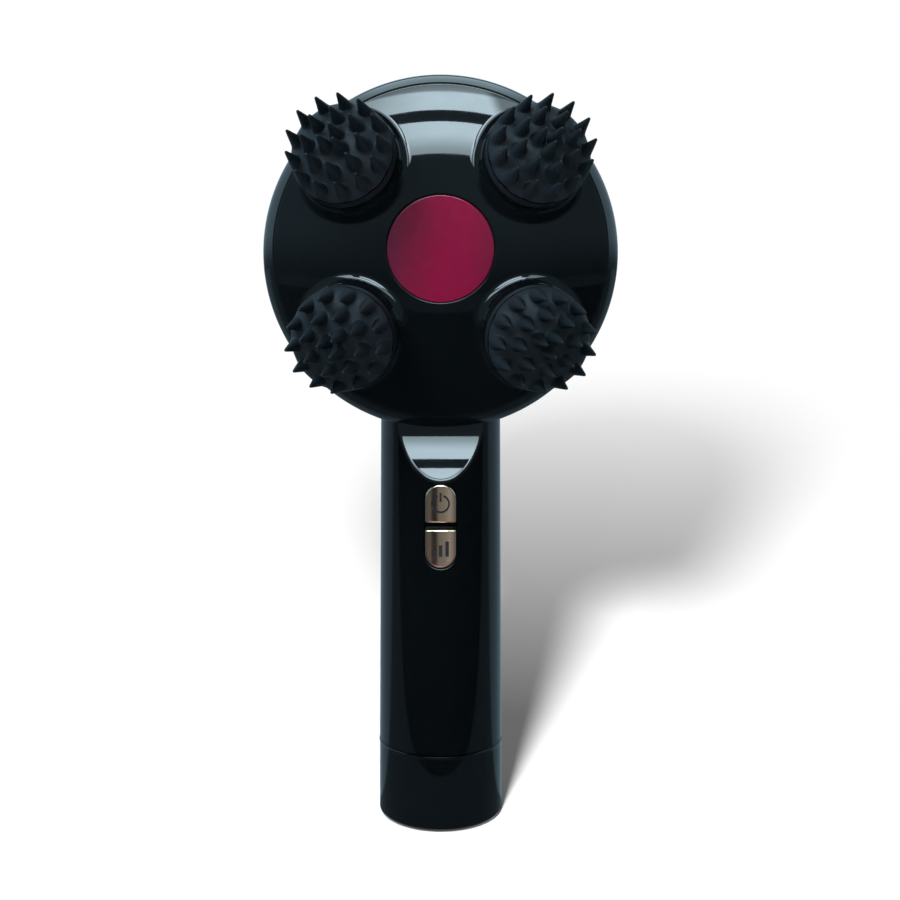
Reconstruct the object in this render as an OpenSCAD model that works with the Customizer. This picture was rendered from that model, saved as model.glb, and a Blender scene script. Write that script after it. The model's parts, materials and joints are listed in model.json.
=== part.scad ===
// Electric scalp massager: a straight handle that carries a round head with four
// turning silicone massage heads. Millimetres, +Z up along the handle, -Y to the front.
// The origin is the middle of the flat base. "n" means a distance in front of the
// handle's axis, and "t" a distance along a spindle, from the top of its collar.

/* [Handle] */
// Overall height
total_height = 200; // [185:1:215]
// Radius of the handle at its foot
handle_r = 16.75; // [16.2:0.05:18]
// Radius that the handle loses from foot to neck
handle_taper = 0.3; // [0:0.05:0.6]
// Wall of the handle tube
handle_wall = 2.35; // [2.1:0.05:2.6]
// Front wall left behind the neck scoop
scoop_wall = 2; // [1.5:0.1:2.5]
// Radius of the concave scoop under the head
scoop_r = 55; // [40:1:70]
// Depth of the scoop at its top, below the front of the handle
scoop_depth = 4.4; // [3.4:0.1:5]
// Lean of the scoop at its top, in degrees
scoop_lean = 12; // [9:1:14]

/* [Head] */
// Radius of the head
head_r = 47.4; // [46:0.1:52]
// Front edge of the rear housing
head_front = 14.5; // [13:0.1:16]
// Rounding of the head's front edge
rim_round = 3.5; // [2:0.1:3.8]
// How far the back of the head reaches behind the handle's axis
head_back = 18.5; // [17:0.1:24]
// Fullness of the head's back, 2 for an ellipse
bowl_power = 2.4; // [2:0.1:3]
// Wall of the rear housing's head
head_wall = 2.2; // [1.6:0.1:2.6]
// Depth of the seat that holds the front cover
seat_depth = 4; // [3.5:0.1:5]

/* [Front cover] */
// Rise of the cover's dome above its edge
dome_rise = 4.5; // [3.6:0.1:6]
// Flatness of the dome's middle
dome_power = 3; // [2.2:0.1:3.6]
// Wall of the front cover
cover_wall = 2.2; // [1.8:0.1:2.4]
// Radius of the light window
window_r = 14; // [12:0.1:15]
// Thickness of the light window
window_t = 2.2; // [1.6:0.1:2.6]

/* [Massage heads] */
// Sideways place of a collar's top
collar_x = 24.3; // [23.5:0.1:26]
// Up or down place of a collar's top
collar_y = 22.9; // [22:0.1:25]
// Front of a collar's top
collar_n = 21.3; // [20.5:0.1:24]
// Outward tilt of the massage heads, in degrees
head_tilt = 16; // [12:0.5:18]
// Radius of a collar
collar_r = 12.6; // [11.8:0.1:13]
// Height of a collar over the foot of its blend, at the side near the window
collar_h = 7; // [6:0.1:7.6]
// Radius of the blend from collar to dome
collar_blend = 4; // [2:0.2:4.4]
// Radius of a massage head
pad_r = 13.5; // [12.6:0.1:14]
// Height of the smooth skirt of a massage head
skirt_h = 4.1; // [3:0.1:5]
// Radius of the crown's curve
crown_r = 20; // [17:0.5:26]
// Wall of the silicone
pad_wall = 2.2; // [1.6:0.1:2.6]
// Length of the nodes above the crown
spike_h = 7.8; // [5:0.1:9]
// Radius of a node at its foot
spike_r = 1.75; // [1.4:0.05:1.8]
// Radius of a node's tip
spike_tip_r = 0.5; // [0.3:0.05:0.7]
// Radius of the outer ring of nodes
ring_outer = 11.7; // [11:0.1:11.7]
// Radius of the middle ring of nodes
ring_middle = 7.1; // [6.4:0.1:7.4]
// Radius of the inner ring of nodes
ring_inner = 2.3; // [2:0.1:2.6]
// Radius of a spindle
spindle_r = 2; // [1.5:0.1:2.4]

/* [Drive] */
// Teeth of the drive gear
drive_teeth = 20; // [20]
// Teeth of each output gear
output_teeth = 15; // [15]
// Teeth of the crown wheel
crown_teeth = 36; // [36]
// Teeth of the motor pinion
pinion_teeth = 9; // [9]
// Mean radius of the crown wheel's teeth
crown_pitch_r = 14; // [13.6:0.1:14.4]
// Face width of the gears
gear_w = 4; // [3.4:0.1:4.4]
// Radius of the drive axle
axle_r = 2; // [1.6:0.1:2.4]
// Radius of the motor
motor_r = 8.5; // [8:0.1:8.6]
// Length of the motor can
motor_l = 17; // [14:0.5:17]
// Thickness of the gearbox base plate
plate_t = 2; // [1.6:0.1:2.4]

/* [Buttons] */
// Width of a button
button_w = 8.2; // [7.4:0.1:8.8]
// Height of the power button
power_h = 10.1; // [9.5:0.1:11]
// Height of the mode button
mode_h = 10; // [9.5:0.1:11]
// Space between the two buttons
button_gap = 1.75; // [1.4:0.05:2.2]
// Height of the mode button's lower end, from the neck
mode_z = -34.9; // [-38:0.1:-34.5]
// How far a button stands out of the handle
button_proud = 0.35; // [0:0.05:0.6]
// Travel of a button
button_travel = 0.6; // [0.4:0.05:0.6]

/* [Foot] */
// Height of the end cap
cap_h = 19.9; // [18:0.1:22]
// Seam between the end cap and the handle
cap_seam = 0.3; // [0.2:0.05:0.5]
// Rounding of the base's edge
base_round = 1.3; // [0.6:0.1:2]
// Floor of the end cap
cap_floor = 3; // [2:0.1:3.4]
// Radius of the spigot that the end cap slides on
spigot_r = 14.6; // [14.4:0.02:14.8]
// Height of the spigot's lower end above the base
spigot_z = 5; // [4.6:0.1:6]

/* [Electrics] */
// Radius of the battery cell
cell_r = 9.25; // [8.5:0.05:9.3]
// Length of the battery cell
cell_l = 50; // [45:0.5:65]
// Thickness of the circuit boards
board_t = 1.6; // [1:0.1:1.8]
// Width of the control board
board_w = 20; // [16:0.5:20.5]
// Width of the charging socket
socket_w = 9; // [8.6:0.1:9.2]
// Thickness of the charging socket
socket_t = 3.2; // [3:0.1:3.4]
// Depth of the charging socket
socket_d = 7.3; // [6.5:0.1:7.6]

/* [Hidden] */
$fn = 64;
eps = 0.01;
slip = 0.05;          // gap between pieces that are pushed together
run = 0.05;           // radial gap of a spindle or axle in its bore
gap = 0.3;            // space between pieces that move past each other
trim_l = 1;           // spare length of a cutting shape

head_z = total_height - head_r;
seat_n = head_front - seat_depth;
ledge_t = 2;
ledge_w = 2.2;
cover_r = head_r - rim_round;
seat_r = cover_r + slip;
inner_bowl_r = head_r - head_wall;
inner_bowl_front = seat_n - ledge_t;
inner_bowl_back = head_back - head_wall;

tube_z = cap_h + cap_seam;
bore_r = handle_r - handle_wall;
neck_z = head_z - head_r - 1;
neck_r = handle_r - handle_taper;
neck_n = neck_r - scoop_depth;
scoop_n = neck_n + scoop_r * cos(scoop_lean);
scoop_z = neck_z + scoop_r * sin(scoop_lean);
spine_front_n = 8;    // front of the tube's stretch that runs up the back of the head
spine_z = head_z - 12;

collar_d = norm([collar_x, collar_y]);
apex_n = collar_n - collar_d / tan(head_tilt);   // where all the spindles' lines meet
apex_t = (apex_n - collar_n) / cos(head_tilt);
SIDES = [[1, 1], [-1, 1], [1, -1], [-1, -1]];    // upper right, upper left, lower right, lower left
PAD_PHASE = [0, 164.5, 124.6, 18];               // how far each massage head is turned at rest

dome_top_n = head_front + 0.3 + dome_rise;
window_n = dome_top_n - 0.3;
window_ledge = 2;     // depth of the ring behind the window's seat
seal_t = 1.8;
seal_r = 5;
bush_r = 4;
bush_l = 7.2;
collar_wall = 2;
collar_edge = 0.5;    // bevel at the top of a collar

reflector_h = 2.5;
led_t = 1.2;
led_n = window_n - window_t - window_ledge - reflector_h - led_t;
led_standoff = 1.5;
cover_plate_t = 1.5;
cover_plate_n = led_n - led_standoff - cover_plate_t;
drive_n = cover_plate_n - 1.3 - gear_w;          // rear face of the drive gear
pitch_d = atan(sin(head_tilt) / (output_teeth / drive_teeth + cos(head_tilt)));
pitch_o = head_tilt - pitch_d;
drive_pitch_r = (drive_n - apex_n) * tan(pitch_d);
mesh_slant = (drive_n + gear_w / 2 - apex_n) / cos(pitch_d);
output_t = mesh_slant * cos(pitch_o) + apex_t - gear_w / 2;
output_pitch_r = (output_t - apex_t) * tan(pitch_o);
tooth_out = 1.1;      // height of a tooth above its pitch circle
tooth_in = 1.5;       // depth of a tooth below its pitch circle
output_n = collar_n + output_t * cos(head_tilt); // middle of an output gear's rear face
output_d = collar_d + output_t * sin(head_tilt); // its distance from the middle of the head
crown_tooth_w = 3.2;
crown_rim_r = crown_pitch_r + crown_tooth_w / 2 + 0.4;
crown_disc_t = 2;
crown_front_n = output_n + (output_d - crown_rim_r) * tan(head_tilt) - 0.4;
crown_n = crown_front_n - crown_disc_t;          // rear face of the crown wheel's disc
plate_n = output_n - (output_pitch_r + tooth_out) * sin(head_tilt) - 1.5; // front of the base plate
plate_r = bowl_r_at(plate_n - plate_t) - 1;
hub_r = 5;
thrust_h = 3.6;       // height of the base plate's boss under the crown wheel
post_d = 23;
post_r = 2.5;
cover_plate_r = post_d + post_r;

crown_step = 2 * PI * crown_pitch_r / crown_teeth;
crown_tooth_h = 0.62 * crown_step;
pinion_pitch_r = crown_step * pinion_teeth / (2 * PI);
motor_n = crown_n - 0.33 * crown_step - pinion_pitch_r;
pinion_l = 2.7;
pinion_top = head_z - crown_pitch_r + pinion_l / 2;
gearhead_l = 12;
drive_tip_r = (drive_pitch_r + tooth_out) * (1 + gear_w / (drive_n - apex_n));
gearhead_drop = max(drive_tip_r, crown_pitch_r + pinion_l / 2) + 0.6;    // from the middle of the head
motor_z = head_z - gearhead_drop - gearhead_l - motor_l;
shaft_r = 1.2;

cell_back = bore_r - cell_r - 0.35;
cell_z = tube_z + 10;
board_n = cell_r - cell_back + 0.55;
button_slot_w = button_w + 2 * gap;
mode_foot_z = neck_z + mode_z;
power_z = mode_foot_z + mode_h + button_gap;
switch_h = 2.2;
switch_w = 6;
plunger_h = 0.9;
flange_t = 1;
flange_over = 1.2;
flange_n = sqrt(bore_r * bore_r - pow(button_slot_w / 2 + flange_over, 2)) - gap;

plug_z = tube_z + 6.8;
plug_wall = 2.2;
cap_bore_r = spigot_r + gap;

// ---------------------------------------------------------------- places

// The head's own frame: x to the right, y up, z to the front.
module at_head() translate([0, 0, head_z]) rotate([90, 0, 0]) children();

function spindle_az(i) = atan2(SIDES[i][1] * collar_y, SIDES[i][0] * collar_x);

// A spindle's frame: z along the spindle, 0 at the top of its collar.
module at_spindle(i)
    at_head() translate([SIDES[i][0] * collar_x, SIDES[i][1] * collar_y, collar_n])
        rotate([0, 0, spindle_az(i)]) rotate([0, head_tilt, 0]) rotate([0, 0, -spindle_az(i)])
            children();

module to_front(n) translate([0, -n, 0]) rotate([90, 0, 0]) children();

module ring(r_out, r_in, h) difference() {
    cylinder(r = r_out, h = h);
    translate([0, 0, -trim_l]) cylinder(r = r_in, h = h + 2 * trim_l);
}

// ---------------------------------------------------------------- rear housing

// Quarter of a superellipse, from the widest point to the middle of the back.
function bowl(r, front, depth, steps = 18) = [for (i = [0:steps]) let (a = 90 * i / steps)
    [r * pow(cos(a), 2 / bowl_power), front - depth * pow(sin(a), 2 / bowl_power)]];

// Radius of the bowl's inside at a distance n in front of the handle's axis.
function bowl_r_at(n) = inner_bowl_r * pow(1 - pow((inner_bowl_front - n)
    / (inner_bowl_back + inner_bowl_front), bowl_power), 1 / bowl_power);

// Depth of the bowl's inside at a radius r.
function bowl_n_at(r) = inner_bowl_front - (inner_bowl_back + inner_bowl_front)
    * pow(1 - pow(r / inner_bowl_r, bowl_power), 1 / bowl_power);

module bowl_outside() rotate_extrude() polygon(concat(
    [[0, head_front], [head_r - rim_round, head_front]],
    [for (a = [75:-15:15]) [head_r - rim_round * (1 - cos(a)), head_front - rim_round * (1 - sin(a))]],
    bowl(head_r, head_front - rim_round, head_back + head_front - rim_round)));

module bowl_inside() rotate_extrude() polygon(concat(
    [[0, head_front + trim_l], [seat_r, head_front + trim_l], [seat_r, seat_n],
     [cover_r - ledge_w, seat_n], [cover_r - ledge_w, inner_bowl_front]],
    bowl(inner_bowl_r, inner_bowl_front, inner_bowl_back + inner_bowl_front)));

module scoop(r) translate([0, -scoop_n, scoop_z]) rotate([0, 90, 0])
    translate([0, 0, -handle_r - 5]) cylinder(r = r, h = 2 * handle_r + 10, $fn = 120);

module tube_outside() {
    difference() {
        translate([0, 0, tube_z])
            cylinder(r1 = handle_r, r2 = neck_r, h = neck_z + 4 - tube_z);
        scoop(scoop_r);
    }
    intersection() {
        translate([0, 0, neck_z - 2]) cylinder(r = neck_r, h = spine_z - neck_z + 2);
        translate([-handle_r - 1, -spine_front_n, neck_z - 2])
            cube([2 * handle_r + 2, spine_front_n + handle_r + 1, spine_z - neck_z + 3]);
    }
}

module tube_inside() difference() {
    translate([0, 0, tube_z - trim_l]) cylinder(r = bore_r, h = spine_z - tube_z);
    scoop(scoop_r + scoop_wall);
    translate([-handle_r, -handle_r - inner_bowl_front + 0.2, neck_z - 1])
        cube([2 * handle_r, handle_r, spine_z]);
}

BOSSES = [for (sx = [1, -1], sy = [1, -1]) [sx * (plate_r - 8), sy * 9]];
boss_r = 3.2;
screw_r = 1.25;
screw_tip_n = bowl_n_at(norm(BOSSES[0]) + screw_r) + 0.4;    // ends of the screws in the bosses

module base_bosses() at_head() intersection() {
    for (b = BOSSES) translate([b[0], b[1], -head_back]) difference() {
        cylinder(r = boss_r, h = head_back + plate_n - plate_t);
        translate([0, 0, head_back + screw_tip_n - 0.2]) cylinder(r = screw_r, h = head_back);
    }
    rotate_extrude() polygon(concat([[0, head_front]],
        bowl(head_r - 1, head_front - rim_round, head_back + head_front - rim_round - 1)));
}

// Outline of the two-button slot as seen from the front, widened by "more".
module slot_shape(more) {
    translate([-button_w / 2 - more, mode_foot_z + button_w / 2])
        square([button_w + 2 * more, power_z + power_h - mode_foot_z - button_w]);
    translate([0, mode_foot_z + button_w / 2]) circle(r = button_w / 2 + more);
    translate([0, power_z + power_h - button_w / 2]) circle(r = button_w / 2 + more);
}

module rear_housing() color([0.02, 0.02, 0.024]) {
    difference() {
        union() {
            tube_outside();
            at_head() bowl_outside();
        }
        at_head() bowl_inside();
        tube_inside();
        to_front(0) linear_extrude(handle_r + 3) slot_shape(gap);
    }
    base_bosses();
}

// ---------------------------------------------------------------- front cover

function dome_n(r) = dome_top_n - dome_rise * pow(r / cover_r, dome_power);
function dome_curve(r_end, drop, steps = 14) =
    [for (i = [0:steps]) let (r = r_end * (1 - i / steps)) [r, dome_n(r) - drop]];

module dome_outside() rotate_extrude() polygon(concat(
    [[0, seat_n], [cover_r, seat_n]], dome_curve(cover_r, 0)));

module dome_inside() rotate_extrude() polygon(concat(
    [[0, seat_n - trim_l], [cover_r - cover_wall, seat_n - trim_l]],
    dome_curve(cover_r - cover_wall, cover_wall)));

// A collar with its concave blend down to the dome.
module collar_outside() rotate_extrude() polygon(concat(
    [[0, -collar_h - 2], [collar_r + collar_blend, -collar_h - 2]],
    [for (a = [0:15:90]) [collar_r, -collar_h] + collar_blend * [1 - sin(a), 1 - cos(a)]],
    [[collar_r, -collar_edge], [collar_r - collar_edge, 0], [0, 0]]));

// Keeps the collars off the rim of the rear housing.
module cover_limit() {
    translate([0, 0, seat_n]) cylinder(r = cover_r, h = 80);
    translate([0, 0, head_front + 0.5]) cylinder(r = 2 * head_r, h = 80);
}

module front_cover() color([0.02, 0.02, 0.024]) difference() {
    union() {
        difference() {
            union() {
                at_head() dome_outside();
                intersection() {
                    for (i = [0:3]) at_spindle(i) collar_outside();
                    at_head() cover_limit();
                }
            }
            at_head() dome_inside();
            for (i = [0:3]) at_spindle(i) translate([0, 0, -12])
                cylinder(r = collar_r - collar_wall, h = 12 - 2.2);
        }
        for (i = [0:3]) at_spindle(i) translate([0, 0, -seal_t - bush_l])
            cylinder(r = bush_r + 2, h = bush_l);
        at_head() translate([0, 0, window_n - window_t - window_ledge])
            cylinder(r = window_r + 2.4, h = window_ledge + 0.6);
    }
    at_head() {
        translate([0, 0, seat_n]) cylinder(r = window_r - 1.5, h = 20);
        translate([0, 0, window_n - window_t]) cylinder(r = window_r + slip, h = 20);
        translate([0, 0, seat_n + 1.4]) ring(cover_r + 1, cover_r - 1.32, 1.7);
    }
    for (i = [0:3]) at_spindle(i) {
        translate([0, 0, -seal_t - bush_l - 1]) cylinder(r = bush_r, h = bush_l + 2);
        translate([0, 0, -seal_t]) cylinder(r = seal_r, h = seal_t + trim_l);
    }
}

module cover_seal() color([0.12, 0.12, 0.12]) at_head() translate([0, 0, seat_n + 2.25])
    rotate_extrude() translate([cover_r - 0.7, 0]) circle(r = 0.6, $fn = 24);

module light_window() color([0.46, 0.07, 0.2]) at_head() rotate_extrude()
    polygon([[0, window_n - window_t], [window_r, window_n - window_t], [window_r, window_n - 0.3],
             [window_r - 0.3, window_n], [0, window_n]]);

module reflector() color("white") at_head() rotate_extrude()
    polygon([[9.2, led_n + led_t], [window_r - 2.6, led_n + led_t],
             [window_r - 0.4, led_n + led_t + reflector_h], [window_r - 1.6, led_n + led_t + reflector_h]]);

module led_board() color("darkgreen") at_head() translate([0, 0, led_n])
    cylinder(r = window_r - 1.5, h = led_t);

module leds() color([0.9, 0.3, 0.3]) at_head() for (a = [0:60:300]) rotate([0, 0, a])
    translate([7, 0, led_n + led_t]) {
        cylinder(r = 1.4, h = 0.8);
        translate([0, 0, 0.8]) intersection() {
            sphere(r = 1.1);
            cylinder(r = 2, h = 2);
        }
    }

// ---------------------------------------------------------------- massage heads

crown_mid_t = skirt_h + 0.4 - sqrt(crown_r * crown_r - pad_r * pad_r);
function crown_at(r) = crown_mid_t + sqrt(crown_r * crown_r - r * r);
skirt_t = 0.4;
hub_gap = 0.05;
hub_disc_r = pad_r - pad_wall;

// Profile of a cap under a spherical crown, as points from the foot round to the axis.
function crown_curve(r, sphere_r, steps = 8) =
    [for (i = [0:steps]) let (x = r * (1 - i / steps)) [x, crown_mid_t + sqrt(sphere_r * sphere_r - x * x)]];

module spike(r) translate([r, 0, crown_at(r) - 1]) {
    cylinder(r1 = spike_r, r2 = spike_tip_r, h = spike_h + 1 - spike_tip_r, $fn = 24);
    translate([0, 0, spike_h + 1 - spike_tip_r]) sphere(r = spike_tip_r, $fn = 24);
}

module spike_ring(count, r, phase) for (k = [0:count - 1])
    rotate([0, 0, phase + 360 * k / count]) spike(r);

module massage_head(i) color([0.11, 0.13, 0.15]) at_spindle(i) rotate([0, 0, PAD_PHASE[i]]) {
    difference() {
        rotate_extrude() polygon(concat([[0, skirt_t], [pad_r - 0.4, skirt_t], [pad_r, skirt_t + 0.4]],
            [[pad_r, skirt_h - 0.4]], crown_curve(pad_r - 0.35, crown_r)));
        rotate_extrude() polygon(concat([[0, skirt_t - trim_l], [hub_disc_r, skirt_t - trim_l]],
            crown_curve(hub_disc_r, crown_r - pad_wall)));
    }
    spike_ring(13, ring_outer, 2.1);
    spike_ring(8, ring_middle, 13.3);
    spike_ring(3, ring_inner, 33.3);
}

module head_hub(i) color([0.3, 0.3, 0.32]) at_spindle(i) difference() {
    rotate_extrude() polygon(concat([[0, skirt_t], [hub_disc_r - hub_gap, skirt_t]],
        crown_curve(hub_disc_r - hub_gap, crown_r - pad_wall - hub_gap)));
    translate([0, 0, -trim_l]) cylinder(r = spindle_r + slip / 2, h = 5 + trim_l);
}

spindle_foot_t = (plate_n - collar_n) / cos(head_tilt) + 0.6;

module spindle(i) color("silver") at_spindle(i) translate([0, 0, spindle_foot_t])
    cylinder(r = spindle_r, h = 5 - eps - spindle_foot_t);

module spindle_bushes() color([0.7, 0.55, 0.3]) for (i = [0:3]) at_spindle(i)
    translate([0, 0, -seal_t - bush_l]) ring(bush_r - slip / 2, spindle_r + run, bush_l);

module spindle_seals() color([0.12, 0.12, 0.12]) for (i = [0:3]) at_spindle(i)
    translate([0, 0, -seal_t]) ring(seal_r - slip / 2, spindle_r + run, seal_t);

// ---------------------------------------------------------------- gears

// Outline of a gear: each tooth is a trapezium on the root circle.
function gear_points(teeth, root_r, tip_r, root_w, tip_w) =
    [for (k = [0:teeth - 1], p = [[root_r, -root_w], [tip_r, -tip_w], [tip_r, tip_w], [root_r, root_w]])
        let (a = 360 * k / teeth + asin(p[1] / 2 / p[0])) [p[0] * cos(a), p[0] * sin(a)]];

module bevel_gear(teeth, pitch_r, apex_dist)
    linear_extrude(height = gear_w, scale = (apex_dist + gear_w) / apex_dist)
        polygon(gear_points(teeth, pitch_r - tooth_in, pitch_r + tooth_out, 2.6, 1.1));

module drive_gear() color("ivory") at_head() translate([0, 0, drive_n]) difference() {
    bevel_gear(drive_teeth, drive_pitch_r, drive_n - apex_n);
    translate([0, 0, -trim_l]) cylinder(r = hub_r + slip / 2, h = gear_w + 2 * trim_l);
}

module crown_wheel() color("ivory") at_head() difference() {
    union() {
        translate([0, 0, crown_n]) cylinder(r = crown_rim_r, h = crown_disc_t);
        translate([0, 0, crown_n]) cylinder(r = hub_r + 2.5, h = drive_n - crown_n);
        translate([0, 0, plate_n + thrust_h + 0.3])
            cylinder(r = hub_r, h = cover_plate_n - plate_n - thrust_h - 0.8);
        for (k = [0:crown_teeth - 1]) rotate([0, 0, (k + 0.5) * 360 / crown_teeth])
            translate([crown_pitch_r - crown_tooth_w / 2, 0, crown_n + eps]) rotate([90, 0, 90])
                linear_extrude(crown_tooth_w)
                    polygon([[-0.26 * crown_step, 0], [-0.14 * crown_step, -crown_tooth_h],
                             [0.14 * crown_step, -crown_tooth_h], [0.26 * crown_step, 0]]);
    }
    translate([0, 0, plate_n]) cylinder(r = axle_r + run, h = 30);
}

// The drive gear's tooth nearest to the line of centres meets a gap of the output gear.
function mesh_turn(i) = let (step = 360 / drive_teeth, az = spindle_az(i))
    180 - (round(az / step) * step - az) * drive_teeth / output_teeth + 180 / output_teeth;

module output_gear(i) color("ivory") at_spindle(i) rotate([0, 0, spindle_az(i)])
    translate([0, 0, output_t]) difference() {
        union() {
            rotate([0, 0, mesh_turn(i)]) bevel_gear(output_teeth, output_pitch_r, output_t - apex_t);
            translate([0, 0, -1.2]) cylinder(r = hub_r, h = gear_w + 2.4);
        }
        translate([0, 0, -5]) cylinder(r = spindle_r + slip / 2, h = gear_w + 10);
    }

module drive_axle() color("silver") at_head() translate([0, 0, plate_n - plate_t])
    cylinder(r = axle_r, h = cover_plate_n - plate_n + plate_t);

module gearbox_base() color([0.75, 0.75, 0.78]) difference() {
    union() {
        at_head() {
            translate([0, 0, plate_n - plate_t]) cylinder(r = plate_r, h = plate_t);
            translate([0, 0, plate_n - eps]) cylinder(r = hub_r, h = thrust_h + eps);
            for (p = [[post_d, 0], [-post_d, 0], [0, post_d]])
                translate([p[0], p[1], plate_n - eps])
                    cylinder(r = post_r, h = cover_plate_n - plate_n + eps);
        }
        intersection() {
            for (i = [0:3]) at_spindle(i) translate([0, 0, spindle_foot_t - 3])
                cylinder(r = 4.5, h = output_t - 1.6 - spindle_foot_t + 3);
            at_head() translate([0, 0, plate_n - plate_t]) cylinder(r = plate_r, h = 30);
        }
    }
    at_head() {
        translate([0, 0, -30]) cylinder(r = axle_r + slip / 2, h = 60);
        translate([-motor_r - 1.5, -plate_r - 1, plate_n - 30])
            cube([2 * motor_r + 3, plate_r + 1 - crown_pitch_r + pinion_l / 2 + 1, 60]);
        for (p = [[post_d, 0], [-post_d, 0], [0, post_d]])
            translate([p[0], p[1], cover_plate_n - 6]) cylinder(r = 1.05, h = 7);
        for (b = BOSSES) translate([b[0], b[1], plate_n - plate_t - trim_l])
            cylinder(r = screw_r + slip, h = plate_t + 2 * trim_l);
    }
    for (i = [0:3]) at_spindle(i) translate([0, 0, spindle_foot_t])
        cylinder(r = spindle_r + run, h = 12);
}

module screw(shank_r, shank_l, head_d, head_h) {
    translate([0, 0, -shank_l]) cylinder(r = shank_r, h = shank_l);
    difference() {
        cylinder(r = head_d / 2, h = head_h);
        translate([0, 0, head_h / 2]) cylinder(r = head_d / 5, h = head_h, $fn = 6);
    }
}

module base_screws() color("silver") at_head() for (b = BOSSES)
    translate([b[0], b[1], plate_n]) screw(screw_r - slip, plate_n - screw_tip_n, 4.4, 1.4);

module gear_cover() color([0.75, 0.75, 0.78]) at_head() difference() {
    union() {
        translate([0, 0, cover_plate_n]) cylinder(r = cover_plate_r, h = cover_plate_t);
        translate([0, 0, cover_plate_n]) ring(10, 8, led_n - cover_plate_n);
    }
    for (p = [[post_d, 0], [-post_d, 0], [0, post_d]])
        translate([p[0], p[1], cover_plate_n - 1]) cylinder(r = 1.1, h = 10);
}

module cover_screws() color("silver") at_head() for (p = [[post_d, 0], [-post_d, 0], [0, post_d]])
    translate([p[0], p[1], cover_plate_n + cover_plate_t]) screw(1, 6, 3.4, 1.1);

// ---------------------------------------------------------------- motor

module at_motor(z) translate([0, -motor_n, z]) children();

module motor_can() color("silver") at_motor(motor_z) cylinder(r = motor_r, h = motor_l);

module motor_gearhead() color([0.6, 0.6, 0.62]) at_motor(motor_z + motor_l) difference() {
    cylinder(r = motor_r, h = gearhead_l);
    translate([0, 0, gearhead_l - 5]) cylinder(r = shaft_r + run, h = 6);
}

mount_floor = 2;      // floor under the motor
mount_ring_h = 4;     // height of the ring that fills the handle's bore
mount_h = 12;

module motor_mount() color([0.2, 0.2, 0.22]) difference() {
    intersection() {
        union() {
            translate([0, 0, motor_z - mount_floor]) cylinder(r = bore_r, h = mount_ring_h);
            at_motor(motor_z - mount_floor) cylinder(r = motor_r + 1.8, h = mount_h);
        }
        translate([0, 0, motor_z - mount_floor - trim_l])
            cylinder(r = bore_r - slip, h = mount_h + 2 * trim_l);
        translate([-handle_r, -inner_bowl_front + 0.4, motor_z - mount_floor - trim_l])
            cube([2 * handle_r, 2 * handle_r, mount_h + 2 * trim_l]);
    }
    at_motor(motor_z) cylinder(r = motor_r + slip / 2, h = mount_h);
    at_motor(motor_z - mount_floor - trim_l) cylinder(r = 4, h = mount_h);
}

module motor_shaft() color("silver")
    at_motor(motor_z + motor_l + gearhead_l - 4.5) cylinder(r = shaft_r, h = pinion_top - motor_z
        - motor_l - gearhead_l + 4.5);

module motor_pinion() color("goldenrod") at_motor(pinion_top - pinion_l) rotate([0, 0, -90]) difference() {
    linear_extrude(pinion_l)
        polygon(gear_points(pinion_teeth, pinion_pitch_r - 0.41 * crown_step,
            pinion_pitch_r + 0.21 * crown_step, 0.52 * crown_step, 0.23 * crown_step));
    translate([0, 0, -1]) cylinder(r = shaft_r + slip / 2, h = pinion_l + 2);
}

// ---------------------------------------------------------------- buttons

// Outlines of the two buttons as seen from the front: each is one end of the shared slot.
module power_shape() intersection() {
    slot_shape(0);
    translate([-button_w, power_z]) square([2 * button_w, power_h + 1]);
}

module mode_shape() intersection() {
    slot_shape(0);
    translate([-button_w, mode_foot_z - 1]) square([2 * button_w, mode_h + 1]);
}

module power_mark() {
    difference() {
        circle(r = 2.45);
        circle(r = 1.95);
        translate([-0.75, 0]) square([1.5, 3]);
    }
    translate([-0.25, 0.5]) square([0.5, 2.4]);
}

module mode_mark() for (k = [0:2]) translate([(k - 1) * 1.7 - 0.45, -2]) square([0.9, 2 + k]);

module button(z, h) {
    difference() {
        intersection() {
            to_front(flange_n - flange_t) linear_extrude(handle_r) children(0);
            cylinder(r = handle_r + button_proud - handle_taper / 2, h = total_height);
        }
        to_front(handle_r - 0.25 + button_proud - handle_taper / 2) translate([0, z + h / 2])
            linear_extrude(5) children(1);
    }
    to_front(flange_n - flange_t) translate([-button_slot_w / 2 - flange_over + gap, z - 0.3])
        linear_extrude(flange_t) square([button_slot_w + 2 * flange_over - 2 * gap, h + 0.6]);
    to_front(switch_top_n + button_travel + 0.1) translate([0, z + h / 2])
        cylinder(r = 1.5, h = flange_n - flange_t - switch_top_n - button_travel - 0.1 + eps);
}

switch_top_n = board_n + board_t + switch_h + plunger_h;

module power_button() color([0.85, 0.72, 0.5]) button(power_z, power_h) { power_shape(); power_mark(); }

module mode_button() color([0.85, 0.72, 0.5]) button(mode_foot_z, mode_h) { mode_shape(); mode_mark(); }

module tact_switch(z) color([0.15, 0.15, 0.15]) to_front(board_n + board_t) translate([0, z]) {
    translate([-switch_w / 2, -switch_w / 2]) linear_extrude(switch_h) square(switch_w);
    cylinder(r = 1.6, h = switch_h + plunger_h);
}

module power_switch() tact_switch(power_z + power_h / 2);
module mode_switch() tact_switch(mode_foot_z + mode_h / 2);

// ---------------------------------------------------------------- handle inside

board_z = mode_foot_z - 22;
board_l = power_z + power_h / 2 + switch_w / 2 + 0.6 - board_z;
BOARD_SCREWS = [[board_w / 2 - 2, board_z + 3], [2 - board_w / 2, board_z + board_l - 3]];
cradle_end = 2.3;     // length of the cradle past the cell
cradle_z = cell_z - cradle_end;
cradle_top = max(cell_z + cell_l, board_z + board_l) + cradle_end;

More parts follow.
